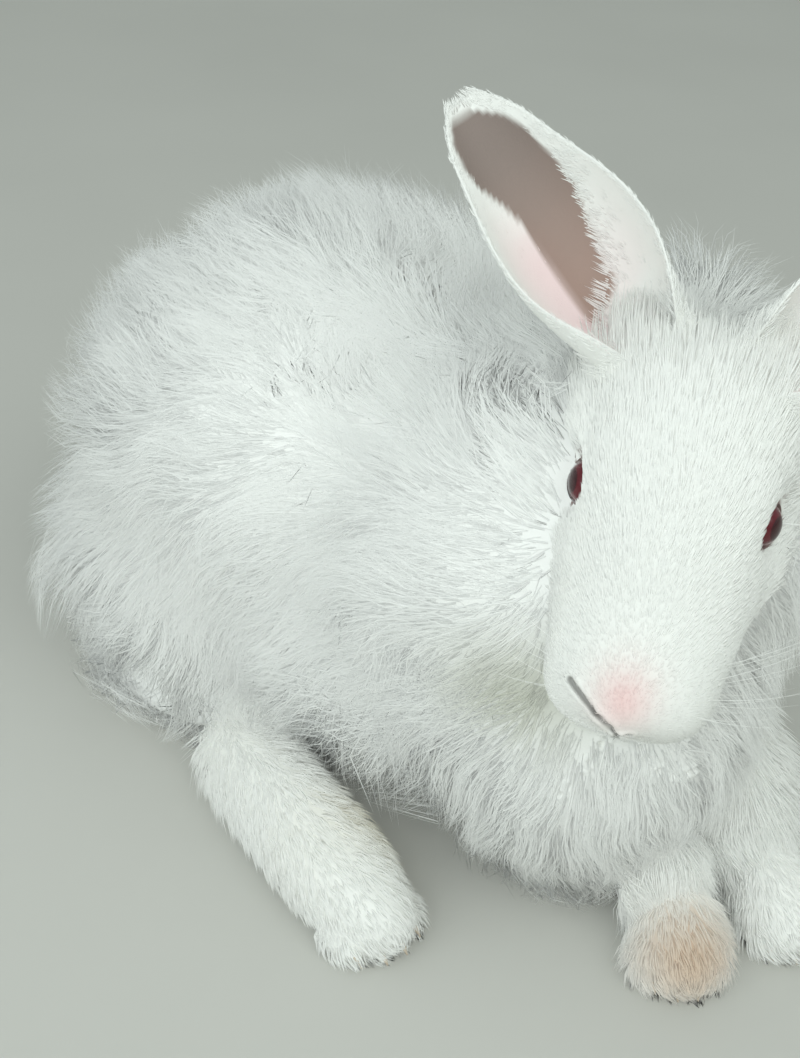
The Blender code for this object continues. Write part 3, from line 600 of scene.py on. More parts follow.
def line_points(tree):
    """For each line of the face its points on the skin, on the sides of the head that have it."""
    found = {}
    start = head_point(FACE_MIDDLE)
    for name, (places, _, _, _, sides) in FACE_LINES.items():
        share = np.linspace(0, 1, len(places))
        fine = np.linspace(0, 1, 26)
        path = np.stack([np.interp(fine, share, column) for column in np.array(places).T], axis=1)
        hits = []
        for side in (SIDES[side_name] for side_name in sides):
            for place in path:
                way = unit(head_point(place, side) - start)
                hits.append(tree.ray_cast(Vector(start), Vector(way))[0])
        found[name] = np.array([hit for hit in hits if hit is not None])
    return found


def nearest_of(points, cloud):
    """How far each point is from the cloud."""
    best = np.full(len(points), 1.0)
    for part in np.array_split(cloud, max(1, len(cloud) // 16)):
        best = np.minimum(best, np.linalg.norm(points[:, None] - part[None], axis=2).min(axis=1))
    return best


def vertex_normals(obj):
    """The normals of the object's points."""
    values = np.empty(len(obj.data.vertices) * 3, np.float32)
    obj.data.vertex_normals.foreach_get("vector", values)
    return values.reshape(-1, 3).astype(float)


def set_points(obj, points):
    """Moves the object's points."""
    obj.data.vertices.foreach_set("co", np.ascontiguousarray(points, np.float32).ravel())
    obj.data.update()


def refine(obj, wanted):
    """Splits each edge of the skin where wanted(points) holds at both of its ends."""
    bm = bmesh.new()
    bm.from_mesh(obj.data)
    chosen = wanted(np.array([vert.co[:] for vert in bm.verts]))
    for vert, tag in zip(bm.verts, chosen):
        vert.tag = bool(tag)
    edges = [edge for edge in bm.edges if edge.verts[0].tag and edge.verts[1].tag]
    bmesh.ops.subdivide_edges(bm, edges=edges, cuts=1, use_grid_fill=True, smooth=0.0)
    bm.to_mesh(obj.data)
    bm.free()


def near_face(points):
    """Whether a point is on the front of the head."""
    place = in_head(points)
    return (place[:, 0] > FACE_GRAIN_START) & (np.abs(place[:, 1]) < 0.045) & (np.abs(place[:, 2]) < 0.05)


def near_detail(points):
    """Whether a point is near an eye, the nose or the mouth."""
    eyes = np.minimum(*(np.linalg.norm(points - eye_axes(side)[0], axis=1) for side in SIDES.values()))
    place = in_head(points)
    return (eyes < 0.014) | ((place[:, 0] > 0.040) & (place[:, 0] < 0.09) & (np.abs(place[:, 1]) < 0.03))


def carve_face(skin):
    """Sinks the eye openings, rolls the lids over the eyes, and sinks the nostrils and the mouth."""
    points = points_of(skin)
    for side in SIDES.values():
        ring, away = lid_place(points, side)
        centre, look, _, _ = eye_axes(side)
        distance = np.linalg.norm(away, axis=1)
        rim = centre + unit(away) * (EYE_RADIUS + LID_THICKNESS)
        share = (ramp(ring, 0.90, 1.0) * (1.0 - ramp(ring, 1.25, 1.9)))[:, None]
        points = np.where((ring < 9)[:, None], points + (rim - points) * share, points)
        sunk = centre + away - look * (away @ look)[:, None] + look * 0.0005
        inside = (1.0 - ramp(ring, 0.86, 0.98))[:, None]
        within = ((ring < 1.0) & (distance < 0.02))[:, None]
        points = np.where(within, points + (sunk - points) * inside, points)
    set_points(skin, points)
    tree = BVHTree.FromObject(skin, bpy.context.evaluated_depsgraph_get())
    lines = line_points(tree)
    normals = vertex_normals(skin)
    face = near_detail(points)
    move = np.zeros(face.sum())
    for name, (_, width, depth, _, _) in FACE_LINES.items():
        far = nearest_of(points[face], lines[name])
        lip = 0.35 * depth * np.exp(-(((far - 2.4 * width) / (1.2 * width)) ** 2))
        move += lip - depth * np.exp(-((far / width) ** 2))
    points[face] += normals[face] * move[:, None]
    points[:, 2] = np.maximum(points[:, 2], 0.0003)
    set_points(skin, points)
    return lines


def build_skin():
    """The whole skin, the name of the part that each of its points belongs to, and the lines of the face."""
    parts = {"core": [coat_core(180, 130)], "head": [ball_of("head_form", head_surface, 120, 90)]}
    line = unit(TAIL_TIP - TAIL_ROOT)
    across = unit(np.cross(line, (1.0, 0.0, 0.0)))
    radii = (0.015, 0.011, np.linalg.norm(TAIL_TIP - TAIL_ROOT) * 0.62 - 0.006)
    axes = (np.cross(line, across), across, line)
    parts["tail"] = [ellipsoid("tail_core", (TAIL_ROOT + TAIL_TIP) / 2, axes, radii)]
    for name in FEET:
        parts[name] = leg_forms(name)
    ears = {"ear_" + name: [ear_sheet("ear_" + name, side)] for name, side in SIDES.items()}
    trees = {name: tree_of(objects) for name, objects in (parts | ears).items()}
    skin = joined("skin", sum(parts.values(), []))
    apply(skin, "REMESH", mode="VOXEL", voxel_size=SKIN_GRAIN)
    apply(skin, "SMOOTH", factor=0.5, iterations=5)
    refine(skin, near_face)
    refine(skin, near_detail)
    apply(skin, "SMOOTH", factor=0.5, iterations=2)
    ear_pair = joined("ears", sum(ears.values(), []))
    apply(skin, "BOOLEAN", operation="UNION", object=ear_pair, solver="MANIFOLD")
    bpy.data.objects.remove(ear_pair)
    lines = carve_face(skin)
    points = points_of(skin)
    best = np.abs(outside_coat(points) + coat_depth(points))
    owner = np.full(len(points), "core", dtype=object)
    for name, tree in trees.items():
        if name == "core":
            continue
        for i, point in enumerate(points):
            hit = tree.find_nearest(Vector(point), 0.004)
            if hit[3] is not None and hit[3] < best[i]:
                best[i], owner[i] = hit[3], name
    smooth(skin)
    return skin, owner, lines


# Tufts: thin closed wedges of three sides, rooted in the skin


PATCH = 0.0015
# The widths of a tuft from root to tip: wool has four points along it, and short fur has three
PROFILES = {4: (0.8, 1.0, 0.62, 0.0), 3: (0.9, 0.8, 0.0)}
# Each tuft is a flat wedge whose broad face looks out of the coat and a little this way, toward the light
TUFT_FACING = np.array((-0.15, -0.25, 0.40))
TUFT_HEIGHT = 0.4
WOOL_SKIN_SINK = 0.002
WOOL_REACH = 0.011
NECK_MIDDLE, NECK_WAY = np.array((0.004, -0.082, 0.128)), unit(np.array((-0.30, -0.50, 0.62)))
CLUMP_POWER = 1.5


def wander(points, size, seed):
    """A smooth field of directions that turns over about this many metres."""
    draw = np.random.default_rng(seed)
    waves = draw.normal(size=(3, 6, 3)) * 2.2 / size
    phases = draw.uniform(0, 6.28, size=(3, 6))
    return np.stack([np.sin(points @ waves[i].T + phases[i]).mean(axis=1) * 1.7 for i in range(3)], axis=1)


def skin_faces(skin):
    """The skin's triangles as point numbers, with their areas."""
    skin.data.calc_loop_triangles()
    faces = np.empty(len(skin.data.loop_triangles) * 3, np.int32)
    skin.data.loop_triangles.foreach_get("vertices", faces)
    faces = faces.reshape(-1, 3)
    corners = points_of(skin)[faces]
    areas = np.linalg.norm(np.cross(corners[:, 1] - corners[:, 0], corners[:, 2] - corners[:, 0]), axis=1) / 2
    return faces, areas


def roots_on(surface, weights, count):
    """Random roots on the skin, with its normal at each, as dense as the weights of the faces say."""
    faces, areas, points, normals = surface
    share = areas * weights
    chosen = faces[rng.choice(len(faces), size=count, p=share / share.sum())]
    mix = rng.dirichlet((1.0, 1.0, 1.0), size=count)[:, :, None]
    return (points[chosen] * mix).sum(axis=1), unit((normals[chosen] * mix).sum(axis=1))


def wool_lie(points):
    """The lie of the wool: toward the rump on the back, down on the sides, and away from the face."""
    x, y, z = points.T
    low = np.clip((0.135 - z) / 0.09, 0.0, 1.0)
    ahead = np.clip((-0.060 - y) / 0.04, 0.0, 1.0)
    backward = (1.0 - 0.85 * low) * (1.0 - 1.1 * ahead)
    body = np.stack([0.35 * low * np.sign(x) * (1.0 - ahead), backward, -0.20 - 1.3 * low], axis=1)
    away = points - EYE_MIDDLE
    hang = np.clip(0.1 - away[:, 2:] / 0.055, 0.0, 1.0)
    outward = unit(away - (away @ HEAD[0])[:, None] * HEAD[0])
    neck = outward * 0.7 - HEAD[0] * (0.7 - 0.7 * hang) - np.array((0.0, 0.0, 1.2)) * hang
    share = ramp((points - NECK_MIDDLE) @ NECK_WAY, -0.025, 0.015)[:, None]
    between = np.array((-0.4, 0.0, -1.6)) * share * (1.0 - share)
    return unit(body) * (1.0 - share) + unit(neck) * share + between


def wool_paths(roots, lengths, rise, steps, stray):
    """Tufts that lean over along the lie while they rise to the coat's outline, and hang free low down."""
    points = roots - coat_normals(roots) * WOOL_SKIN_SINK
    path = [points]
    start = outside_coat(roots)
    turn = rng.normal(size=roots.shape) * stray[:, None]
    follow = 0.15 + 0.45 * ramp(roots[:, 2], 0.05, 0.11)
    for k in range(1, steps):
        share = k / (steps - 1)
        target = start + rise * share**0.85
        normals = coat_normals(points)
        swirl = wander(points, 0.05, 3) * 0.6 + wander(points, 0.014, 4) * 0.7
        swirl = swirl + wander(points, 0.007, 6) * 0.35 * share
        lie = flat_on(wool_lie(points) + swirl + turn, normals)
        lift = target - outside_coat(points)
        reach = lengths / (steps - 1)
        along_lie = np.sqrt(np.maximum(reach**2 - lift**2, (0.35 * reach) ** 2))
        points = points + lie * along_lie[:, None] + normals * lift[:, None]
        error = target - outside_coat(points)
        points = points + coat_normals(points) * (error * np.where(error > 0, 1.0, follow))[:, None]
        points = points - coat_normals(points) * np.maximum(outside_coat(points) - WOOL_REACH, 0.0)[:, None]
        points[:, 2] = np.maximum(points[:, 2], 0.0012 + 0.0015 * rng.random(len(points)))
        path.append(points)
    return np.stack(path, axis=1)


def clumped(paths, spacing, pull):
    """Draws the tips of the tufts together into locks."""
    roots = paths[:, 0]
    cells = np.floor(roots / spacing + 0.5 * wander(roots, 0.03, 5)).astype(int)
    _, guides = np.unique(cells, axis=0, return_index=True)
    nearest = guides[nearest_index(roots, roots[guides])]
    share = np.linspace(0, 1, paths.shape[1]) ** CLUMP_POWER
    pull = np.broadcast_to(pull, len(paths))[:, None, None]
    return paths + (paths[nearest] - paths) * share[None, :, None] * pull


def laid_paths(roots, normals, lie, lengths, lean, steps):
    """Short tufts that lean over at this share of their length, with a slight bend toward the skin."""
    lie = flat_on(lie, normals)
    path = [roots - normals * 0.0006]
    for k in range(1, steps):
        share = k / (steps - 1)
        rise = lean * (share - 0.35 * share * share) / 0.65
        level = share * np.sqrt(1 - lean**2)
        path.append(roots + (lie * level[:, None] + normals * rise[:, None]) * lengths[:, None])
    path = np.stack(path, axis=1)
    path[..., 2] = np.maximum(path[..., 2], 0.0008)
    return path


def set_tint(obj, colour):
    """Stores the colour of each point."""
    layer = obj.data.color_attributes.new("tint", "FLOAT_COLOR", "POINT")
    values = np.concatenate([colour, np.ones((len(colour), 1))], axis=1)
    layer.data.foreach_set("color", values.astype(np.float32).ravel())


def tuft_piece(name, paths, half_width, outward, colour, patches, finish):
    """One mesh of these tufts, whose normals lean toward the coat's own, so that they shade as one."""
    material, soft, slot, node = finish
    count, steps = paths.shape[:2]
    ways = unit(np.gradient(paths, axis=1))
    facing = unit(outward + TUFT_FACING)
    across = unit(np.cross(ways, np.broadcast_to(facing[:, None], paths.shape)))
    lifted = np.cross(across, ways)
    width = (half_width[:, None] * np.array(PROFILES[steps])[None, :])[..., None]
    ridge = paths + lifted * width * TUFT_HEIGHT
    rings = np.stack([paths + across * width, ridge, paths - across * width], axis=2)[:, :-1]
    points = np.concatenate([rings.reshape(count, -1, 3), paths[:, -1:]], axis=1)
    own = np.stack([across * 0.87 - lifted * 0.5, lifted, across * -0.87 - lifted * 0.5], axis=2)
    own = np.concatenate([own[:, :-1].reshape(count, -1, 3), lifted[:, -1:]], axis=1)
    share = np.append(np.tile((soft * 0.5, soft, soft * 0.5), steps - 1), soft)[None, :, None]
    normals = unit(own * (1.0 - share) + outward[:, None] * share)
    corners = points.shape[1]
    faces = [(0, 1, 2)]
    for k in range(steps - 2):
        for j in range(3):
            a, b, c, d = 3 * k + j, 3 * k + 3 + j, 3 * k + 3 + (j + 1) % 3, 3 * k + (j + 1) % 3
            faces += [(a, b, c), (a, c, d)]
    last = 3 * (steps - 2)
    faces += [(last + j, corners - 1, last + (j + 1) % 3) for j in range(3)]
    faces = (np.arange(count)[:, None, None] * corners + np.array(faces)[None]).reshape(-1, 3)
    piece = mesh_object(name, points.reshape(-1, 3), faces)
    shift = np.repeat(np.arange(steps - 1) / (steps - 1), 3) * 2 * PATCH - PATCH
    sideways = np.tile((PATCH, 0.0, -PATCH), steps - 1)
    shift = np.stack([np.append(sideways, 0.0), np.append(shift, PATCH)], axis=1)
    uv = (patches[:, None] + shift[None]).reshape(-1, 2)
    layer = piece.data.uv_layers.new(name="OFBake")
    layer.data.foreach_set("uv", uv[faces.ravel()].astype(np.float32).ravel())
    if colour.ndim == 2:
        colour = np.repeat(colour[:, None], steps, axis=1)
    colour = np.concatenate([np.repeat(colour[:, :-1], 3, axis=1), colour[:, -1:]], axis=1)
    set_tint(piece, colour.reshape(-1, 3))
    smooth(piece)
    piece.data.normals_split_custom_set_from_vertices(normals.reshape(-1, 3))
    piece.data.materials.append(material)
    # Real wool passes most light on, and an opaque wedge would not, so the tufts shade only by their normals
    piece.visible_shadow = False
    part_of_rabbit(piece, slot, node)


# Where each part of the body lies on the flat sheet: left, low, and the size of its square
UV_FIELDS = {
    "core": (0.0, 0.0, 0.6), "head": (0.6, 0.0, 0.4), "tail": (0.6, 0.8, 0.2),
    "hind_leg_right": (0.0, 0.6, 0.2), "hind_leg_left": (0.2, 0.6, 0.2),
    "foreleg_right": (0.4, 0.6, 0.2), "foreleg_left": (0.0, 0.8, 0.2),
    "ear_right": (0.6, 0.4, 0.4), "ear_left": (0.8, 0.8, 0.2),
}


def unwrap(points, name):
    """Where points of one part of the body lie on the flat sheet, laid out round the part's own form."""
    left, low, size = UV_FIELDS[name]
    if name in ("ear_right", "ear_left"):
        side = SIDES[name[4:]]
        line, outward, hollow = ear_axes(side)
        place = points - head_point(EAR_ROOT, side)
        u = np.clip(place @ line / EAR_LENGTH, 0, 1)
        turn = (np.arctan2(place @ outward, place @ hollow + 0.02) / np.pi + 1) / 2
        return np.stack([left + size * (0.04 + 0.92 * turn), low + size * (0.04 + 0.92 * u)], axis=1)
    place, axis = points - COAT_MIDDLE, np.array((0.0, 1.0, 0.0))
    if name == "head":
        place = in_head(points)[:, [1, 0, 2]] + (0.0, -0.005, 0.008)
    elif name in FEET:
        heel, toes, _, axis, _ = foot_of(name)
        place = points - (heel + toes) / 2 - (0.0, 0.0, 0.012)
    elif name == "tail":
        place = points - (TAIL_ROOT + TAIL_TIP) / 2
        axis = unit(TAIL_TIP - TAIL_ROOT)
    across = unit(np.cross(axis, (0.0, 0.0, 1.0)))
    upward = np.cross(across, axis)
    turn = (np.arctan2(place @ across, place @ upward) / np.pi + 1) / 2
    rise = np.arccos(np.clip(unit(place) @ axis, -1, 1)) / np.pi
    return np.stack([left + size * (0.02 + 0.96 * turn), low + size * (0.02 + 0.96 * rise)], axis=1)


# Markings: one white coat, with pink where the skin shows through, the stains of a floor, and painted shade


def paint(code):
    """An sRGB hex colour as three linear values."""
    return np.array(linear(code)[:3])


WHITE, FUR_WHITE = paint("FAFAF7"), paint("F4F4F0")
# The last of these is painted shade for the sunk lines of the nostrils and mouth.
NOSE_PINK, LID_GREY, CREASE_SHADE = paint("F0C4C2"), paint("85706C"), paint("4A4642")
# The grey-brown of the ear's bare strip is partly bare skin and partly painted shade of the hollow.
EAR_BARE_AND_SHADE, EAR_ROSE, EAR_PINK = paint("807069"), paint("A08478"), paint("F0D9D9")
# The stains on the feet are real; the grey-green under the chin is partly a stain and partly painted shadow
# of the muzzle.
HIND_STAIN, FORE_STAIN, CHIN_STAIN_AND_SHADE = paint("E3D3A4"), paint("C6A482"), paint("BFC0AE")
# The dark pink-brown of the sclera is painted shade over the white of the eye.
PUPIL, IRIS, IRIS_RIM, SCLERA_IN_SHADE = paint("35080F"), paint("651320"), paint("47101A"), paint("64302F")
# Where the wool's painted chin shadow and stain lie, and how far they spread.
CHIN_SHADE_SPOT, CHIN_SHADE_SIZE = np.array((-0.071, -0.121, 0.103)), np.array((0.030, 0.030, 0.017))


def mixed(colour, other, share):
    """The colour with this share of the other, point by point."""
    return colour + (other - colour) * np.clip(share, 0.0, 1.0)[:, None]


def around(points, place, size):
    """1 at the place and nothing beyond about its size."""
    far = np.linalg.norm((points - place) / size, axis=1)
    return np.exp(-far * far * 1.5)


def wool_tint(points):
    """White wool with a dull grey-green mark under the right cheek: partly a stain and partly painted shadow
    of the muzzle.
    """
    colour = np.broadcast_to(WHITE, points.shape)
    return mixed(colour, CHIN_STAIN_AND_SHADE, 0.85 * around(points, CHIN_SHADE_SPOT, CHIN_SHADE_SIZE))


def fur_tint(points, owner, lines):
    """Short fur: a pink blush over the nose, painted shade in the nostrils and mouth, grey lids, a chin
    partly stained and partly in painted shadow, and stained feet.
    """
    colour = np.broadcast_to(FUR_WHITE, points.shape)
    place = in_head(points)
    head = (owner == "head").astype(float)
    # Painted shadow under the chin, with a stain in it, on the short fur too.
    chin = around(points, head_point((0.046, -0.008, -0.036)), 0.014)
    colour = mixed(colour, CHIN_STAIN_AND_SHADE, 0.6 * head * chin)
    blush = around(place, (0.0605, -0.0005, 0.001), np.array((0.013, 0.010, 0.010)))
    colour = mixed(colour, NOSE_PINK, 0.70 * head * blush)
    # Painted shade in the sunk nostrils, nose fold and mouth.
    for name, cloud in lines.items():
        near = 1.0 - ramp(nearest_of(points, cloud), 0.0005, 0.0017)
        colour = mixed(colour, CREASE_SHADE, FACE_LINES[name][3] * head * near)
    for side in SIDES.values():
        ring, _ = lid_place(points, side)
        colour = mixed(colour, LID_GREY, head * (1.0 - ramp(ring, 1.02, 1.28)))
    heel, toes = foot_of("hind_leg_right")[:2]
    spot = around(points, heel + (toes - heel) * 0.62 + (0.014, 0.0, 0.010), 0.020)
    colour = mixed(colour, HIND_STAIN, 0.6 * spot * (owner == "hind_leg_right"))
    toes = foot_of("foreleg_right")[1]
    spot = around(points, toes + (0.004, 0.006, 0.018), 0.020)
    return mixed(colour, FORE_STAIN, 0.75 * spot * (owner == "foreleg_right"))


def on_strip(u, v):
    """1 on the bare strip of the ear's hollow, and how far v lies before and beyond its two edges."""
    low, high = (np.interp(u, *np.array(edge).T) for edge in (STRIP_INNER, STRIP_OUTER))
    soft = 0.03 + 0.05 * ramp(u, 0.6, 0.9)
    inside = ramp(v, low - soft, low + soft) * (1.0 - ramp(v, high - soft, high + soft))
    return inside * ramp(u, 0.17, 0.24) * (1.0 - ramp(u, 0.95, 0.99)), low - v, v - high


def ear_tint(u, v, inner):
    """The ear: white fur outside, and in its hollow a bare strip, rose at its root and grey-brown further up,
    the grey-brown partly bare skin and partly painted shade of the hollow, with pink beyond its edge.
    """
    colour = np.broadcast_to(FUR_WHITE, (len(u), 3))
    strip, before, beyond = on_strip(u, v)
    pink = (1.0 - ramp(beyond, 0.10, 0.75)) * ramp(beyond, -0.3, 0.0)
    pink = pink * (1.0 - ramp(u, 0.45, 0.75)) * ramp(u, 0.08, 0.2)
    pink = np.maximum(pink, 0.35 * (1.0 - ramp(before, 0.1, 0.6)) * (1.0 - ramp(u, 0.3, 0.6)))
    colour = mixed(colour, EAR_PINK, inner * pink)
    # The bare strip turns from rose to grey-brown toward the tip: partly bare skin, partly painted shade of
    # the hollow.
    brown = EAR_ROSE + (EAR_BARE_AND_SHADE - EAR_ROSE) * ramp(u, 0.25, 0.9)[:, None]
    return colour + (brown - colour) * (0.95 * inner * strip)[:, None]


# Materials


def add_node(material, kind, links=(), **settings):
    """Adds a shader node, sets its properties and sockets by name, and links sockets of other nodes to it."""
    node = material.node_tree.nodes.new(kind)
    for key, value in settings.items():
        if hasattr(node, key):
            setattr(node, key, value)
        else:
            node.inputs[key.replace("_", " ")].default_value = value
    for socket, source in links:
        material.node_tree.links.new(source, node.inputs[socket])
    return node


def new_material(name):
    """A material with no nodes yet."""
    material = bpy.data.materials.new(name)
    material.use_nodes = True
    material.node_tree.nodes.clear()
    return material


def finished(material, colour, links=(), **settings):
    """Ends the material with one shader of this colour and these values."""
    links = [("Base Color", colour), *links]
    shader = add_node(material, "ShaderNodeBsdfPrincipled", links, **settings)
    add_node(material, "ShaderNodeOutputMaterial", [("Surface", shader.outputs[0])])
    return material


def noise_in(material, scale, detail=2.0):
    """A noise with this many turns to the metre."""
    place = [("Vector", add_node(material, "ShaderNodeTexCoord").outputs["Object"])]
    return add_node(material, "ShaderNodeTexNoise", place, Scale=scale, Detail=detail).outputs["Fac"]


def markings(material):
    """The colour stored on the points."""
    return add_node(material, "ShaderNodeAttribute", attribute_name="tint").outputs["Color"]


def clouded(material, scale, first, second):
    """Two colours in soft clouds."""
    colour = add_node(material, "ShaderNodeMix", [("Factor", noise_in(material, scale))], data_type="RGBA")
    colour.inputs[6].default_value, colour.inputs[7].default_value = linear(first), linear(second)
    return colour.outputs[2]


def fibre_material(name, grain, rough, sheen):
    """Fibres of a white coat: dull with a faint silky edge, and a tone that drifts from lock to lock."""
    material = new_material(name)
    drift = [("Value", noise_in(material, grain, 3.0))]
    tone = add_node(material, "ShaderNodeMapRange", drift, To_Min=0.97, To_Max=1.02)
    links = [(0, markings(material)), (1, tone.outputs["Result"])]
    shade = add_node(material, "ShaderNodeVectorMath", links, operation="MULTIPLY").outputs[0]
    return finished(material, shade, Roughness=rough, IOR=1.45, Sheen_Weight=sheen)


def skin_material():
    """Skin under the coat: its finest fur is bump, one hair about every 0.7 mm."""
    material = new_material("furred skin")
    hairs = [("Height", noise_in(material, 1400.0))]
    bump = add_node(material, "ShaderNodeBump", hairs, Strength=0.15, Distance=0.0004).outputs["Normal"]
    return finished(material, markings(material), [("Normal", bump)], Roughness=0.7, IOR=1.45)


def eye_material():
    """A white rabbit's eye: no pigment, so the blood shows as ruby under a wet clear cornea."""
    material = new_material("albino eye")
    wet = {"Roughness": 0.25, "IOR": 1.38, "Coat_Weight": 0.4, "Coat_Roughness": 0.03}
    return finished(material, markings(material), **wet)


def horn_material():
    """Claw horn: pale, smooth and slightly clouded."""
    material = new_material("claw horn")
    return finished(material, clouded(material, 500.0, "D9CDBC", "B8A48E"), Roughness=0.35, IOR=1.54)


def floor_material():
    """A plain pale floor of matt board."""
    material = new_material("matt board")
    return finished(material, clouded(material, 6.0, "C2C1BB", "CAC9C3"), Roughness=0.85)


# Long angora wool is silkier than the short fur, and its tone drifts over wider locks
WOOL = fibre_material("angora wool", 90.0, 0.8, 0.3)
FUR = fibre_material("short rabbit fur", 260.0, 0.75, 0.15)
SKIN = skin_material()
EYE = eye_material()
HORN = horn_material()


# Build


def all_of(points, name):
    """The name once for each point."""
    return np.full(len(points), name, dtype=object)


skin, owner, face_lines = build_skin()
FLESH = ["torso", "neck", "tail", "head", "ear_right", "ear_left", *FEET]
skin_points, skin_normals = points_of(skin), vertex_normals(skin)
faces, areas = skin_faces(skin)
surface = (faces, areas, skin_points, skin_normals)
face_owner = owner[faces[:, 0]]
skin.data.materials.clear()
skin.data.materials.append(SKIN)
skin.data.polygons.foreach_set("material_index", np.zeros(len(skin.data.polygons), np.int32))
ear_grid = np.meshgrid(np.linspace(0, 1, 60), np.linspace(-1, 1, 40), indexing="ij")
ear_grid = np.stack(ear_grid, axis=-1).reshape(-1, 2)
woolly = ((owner == "core") | (owner == "tail"))[:, None]
skin_tint = np.where(woolly, wool_tint(skin_points), fur_tint(skin_points, owner, face_lines))
for name, side in SIDES.items():
    mine = np.flatnonzero(owner == "ear_" + name)
    sheet = ear_points(side, ear_grid[:, 0], ear_grid[:, 1])
    near = nearest_index(skin_points[mine], sheet)
    hollow_way = ear_hollow(side, *ear_grid[near].T)
    inner = (np.sum(hollow_way * (skin_points[mine] - sheet[near]), axis=1) > 0).astype(float)
    skin_tint[mine] = ear_tint(ear_grid[near, 0], ear_grid[near, 1], inner)
set_tint(skin, skin_tint)
part_of_rabbit(skin, "short_fur", *FLESH)


# Most tufts in one coat piece, which keeps each under 200,000 triangles: a tuft of wool has 16 and one of
# short fur has 10
PIECE_LIMIT = {"wool": 12000, "head_fur": 19000}
# Wool is kept out of a ball in front of each eye: how far ahead its middle is, the radius within which
# tufts are shortened, and the radius within which they are left out
VIEW_AHEAD, VIEW_SHORTER, VIEW_CLEAR = 0.0055, 0.0088, 0.0060


def pieces_of(name, groups, build):
    """Builds the groups of tufts as pieces, each under its limit of tufts."""
    for group in sorted(set(groups)):
        mine = np.flatnonzero(groups == group)
        count = max(1, math.ceil(len(mine) / PIECE_LIMIT[name]))
        for i, part in enumerate(np.array_split(mine, count)):
            build(f"{name}_{group}" + (f"_{i + 1}" if count > 1 else ""), part)


def clear_of_eyes(paths, radius):
    """Whether each tuft keeps out of a ball of this radius in front of each eye."""
    clear = np.ones(len(paths), bool)
    for side in SIDES.values():
        centre, look, _, _ = eye_axes(side)
        clear &= np.linalg.norm(paths - centre - look * VIEW_AHEAD, axis=2).min(axis=1) > radius
    return clear


def in_face(points):
    """Whether a point is inside the front of the head, where no wool may show through."""
    ahead, side, up = in_head(points).T
    reach, back = HEAD_FORM["reach"]
    s = np.clip((reach - ahead) / (reach + back), 0.001, 0.999)
    swell = swell_at(s)
    across = side / (along(HEAD_FORM["widths"], s) * swell)
    upward = (up - along(HEAD_FORM["middles"], s)) / (along(HEAD_FORM["heights"], s) * swell)
    return (np.hypot(across, upward) < 1.04) & (s < 0.6) & (ahead < reach)


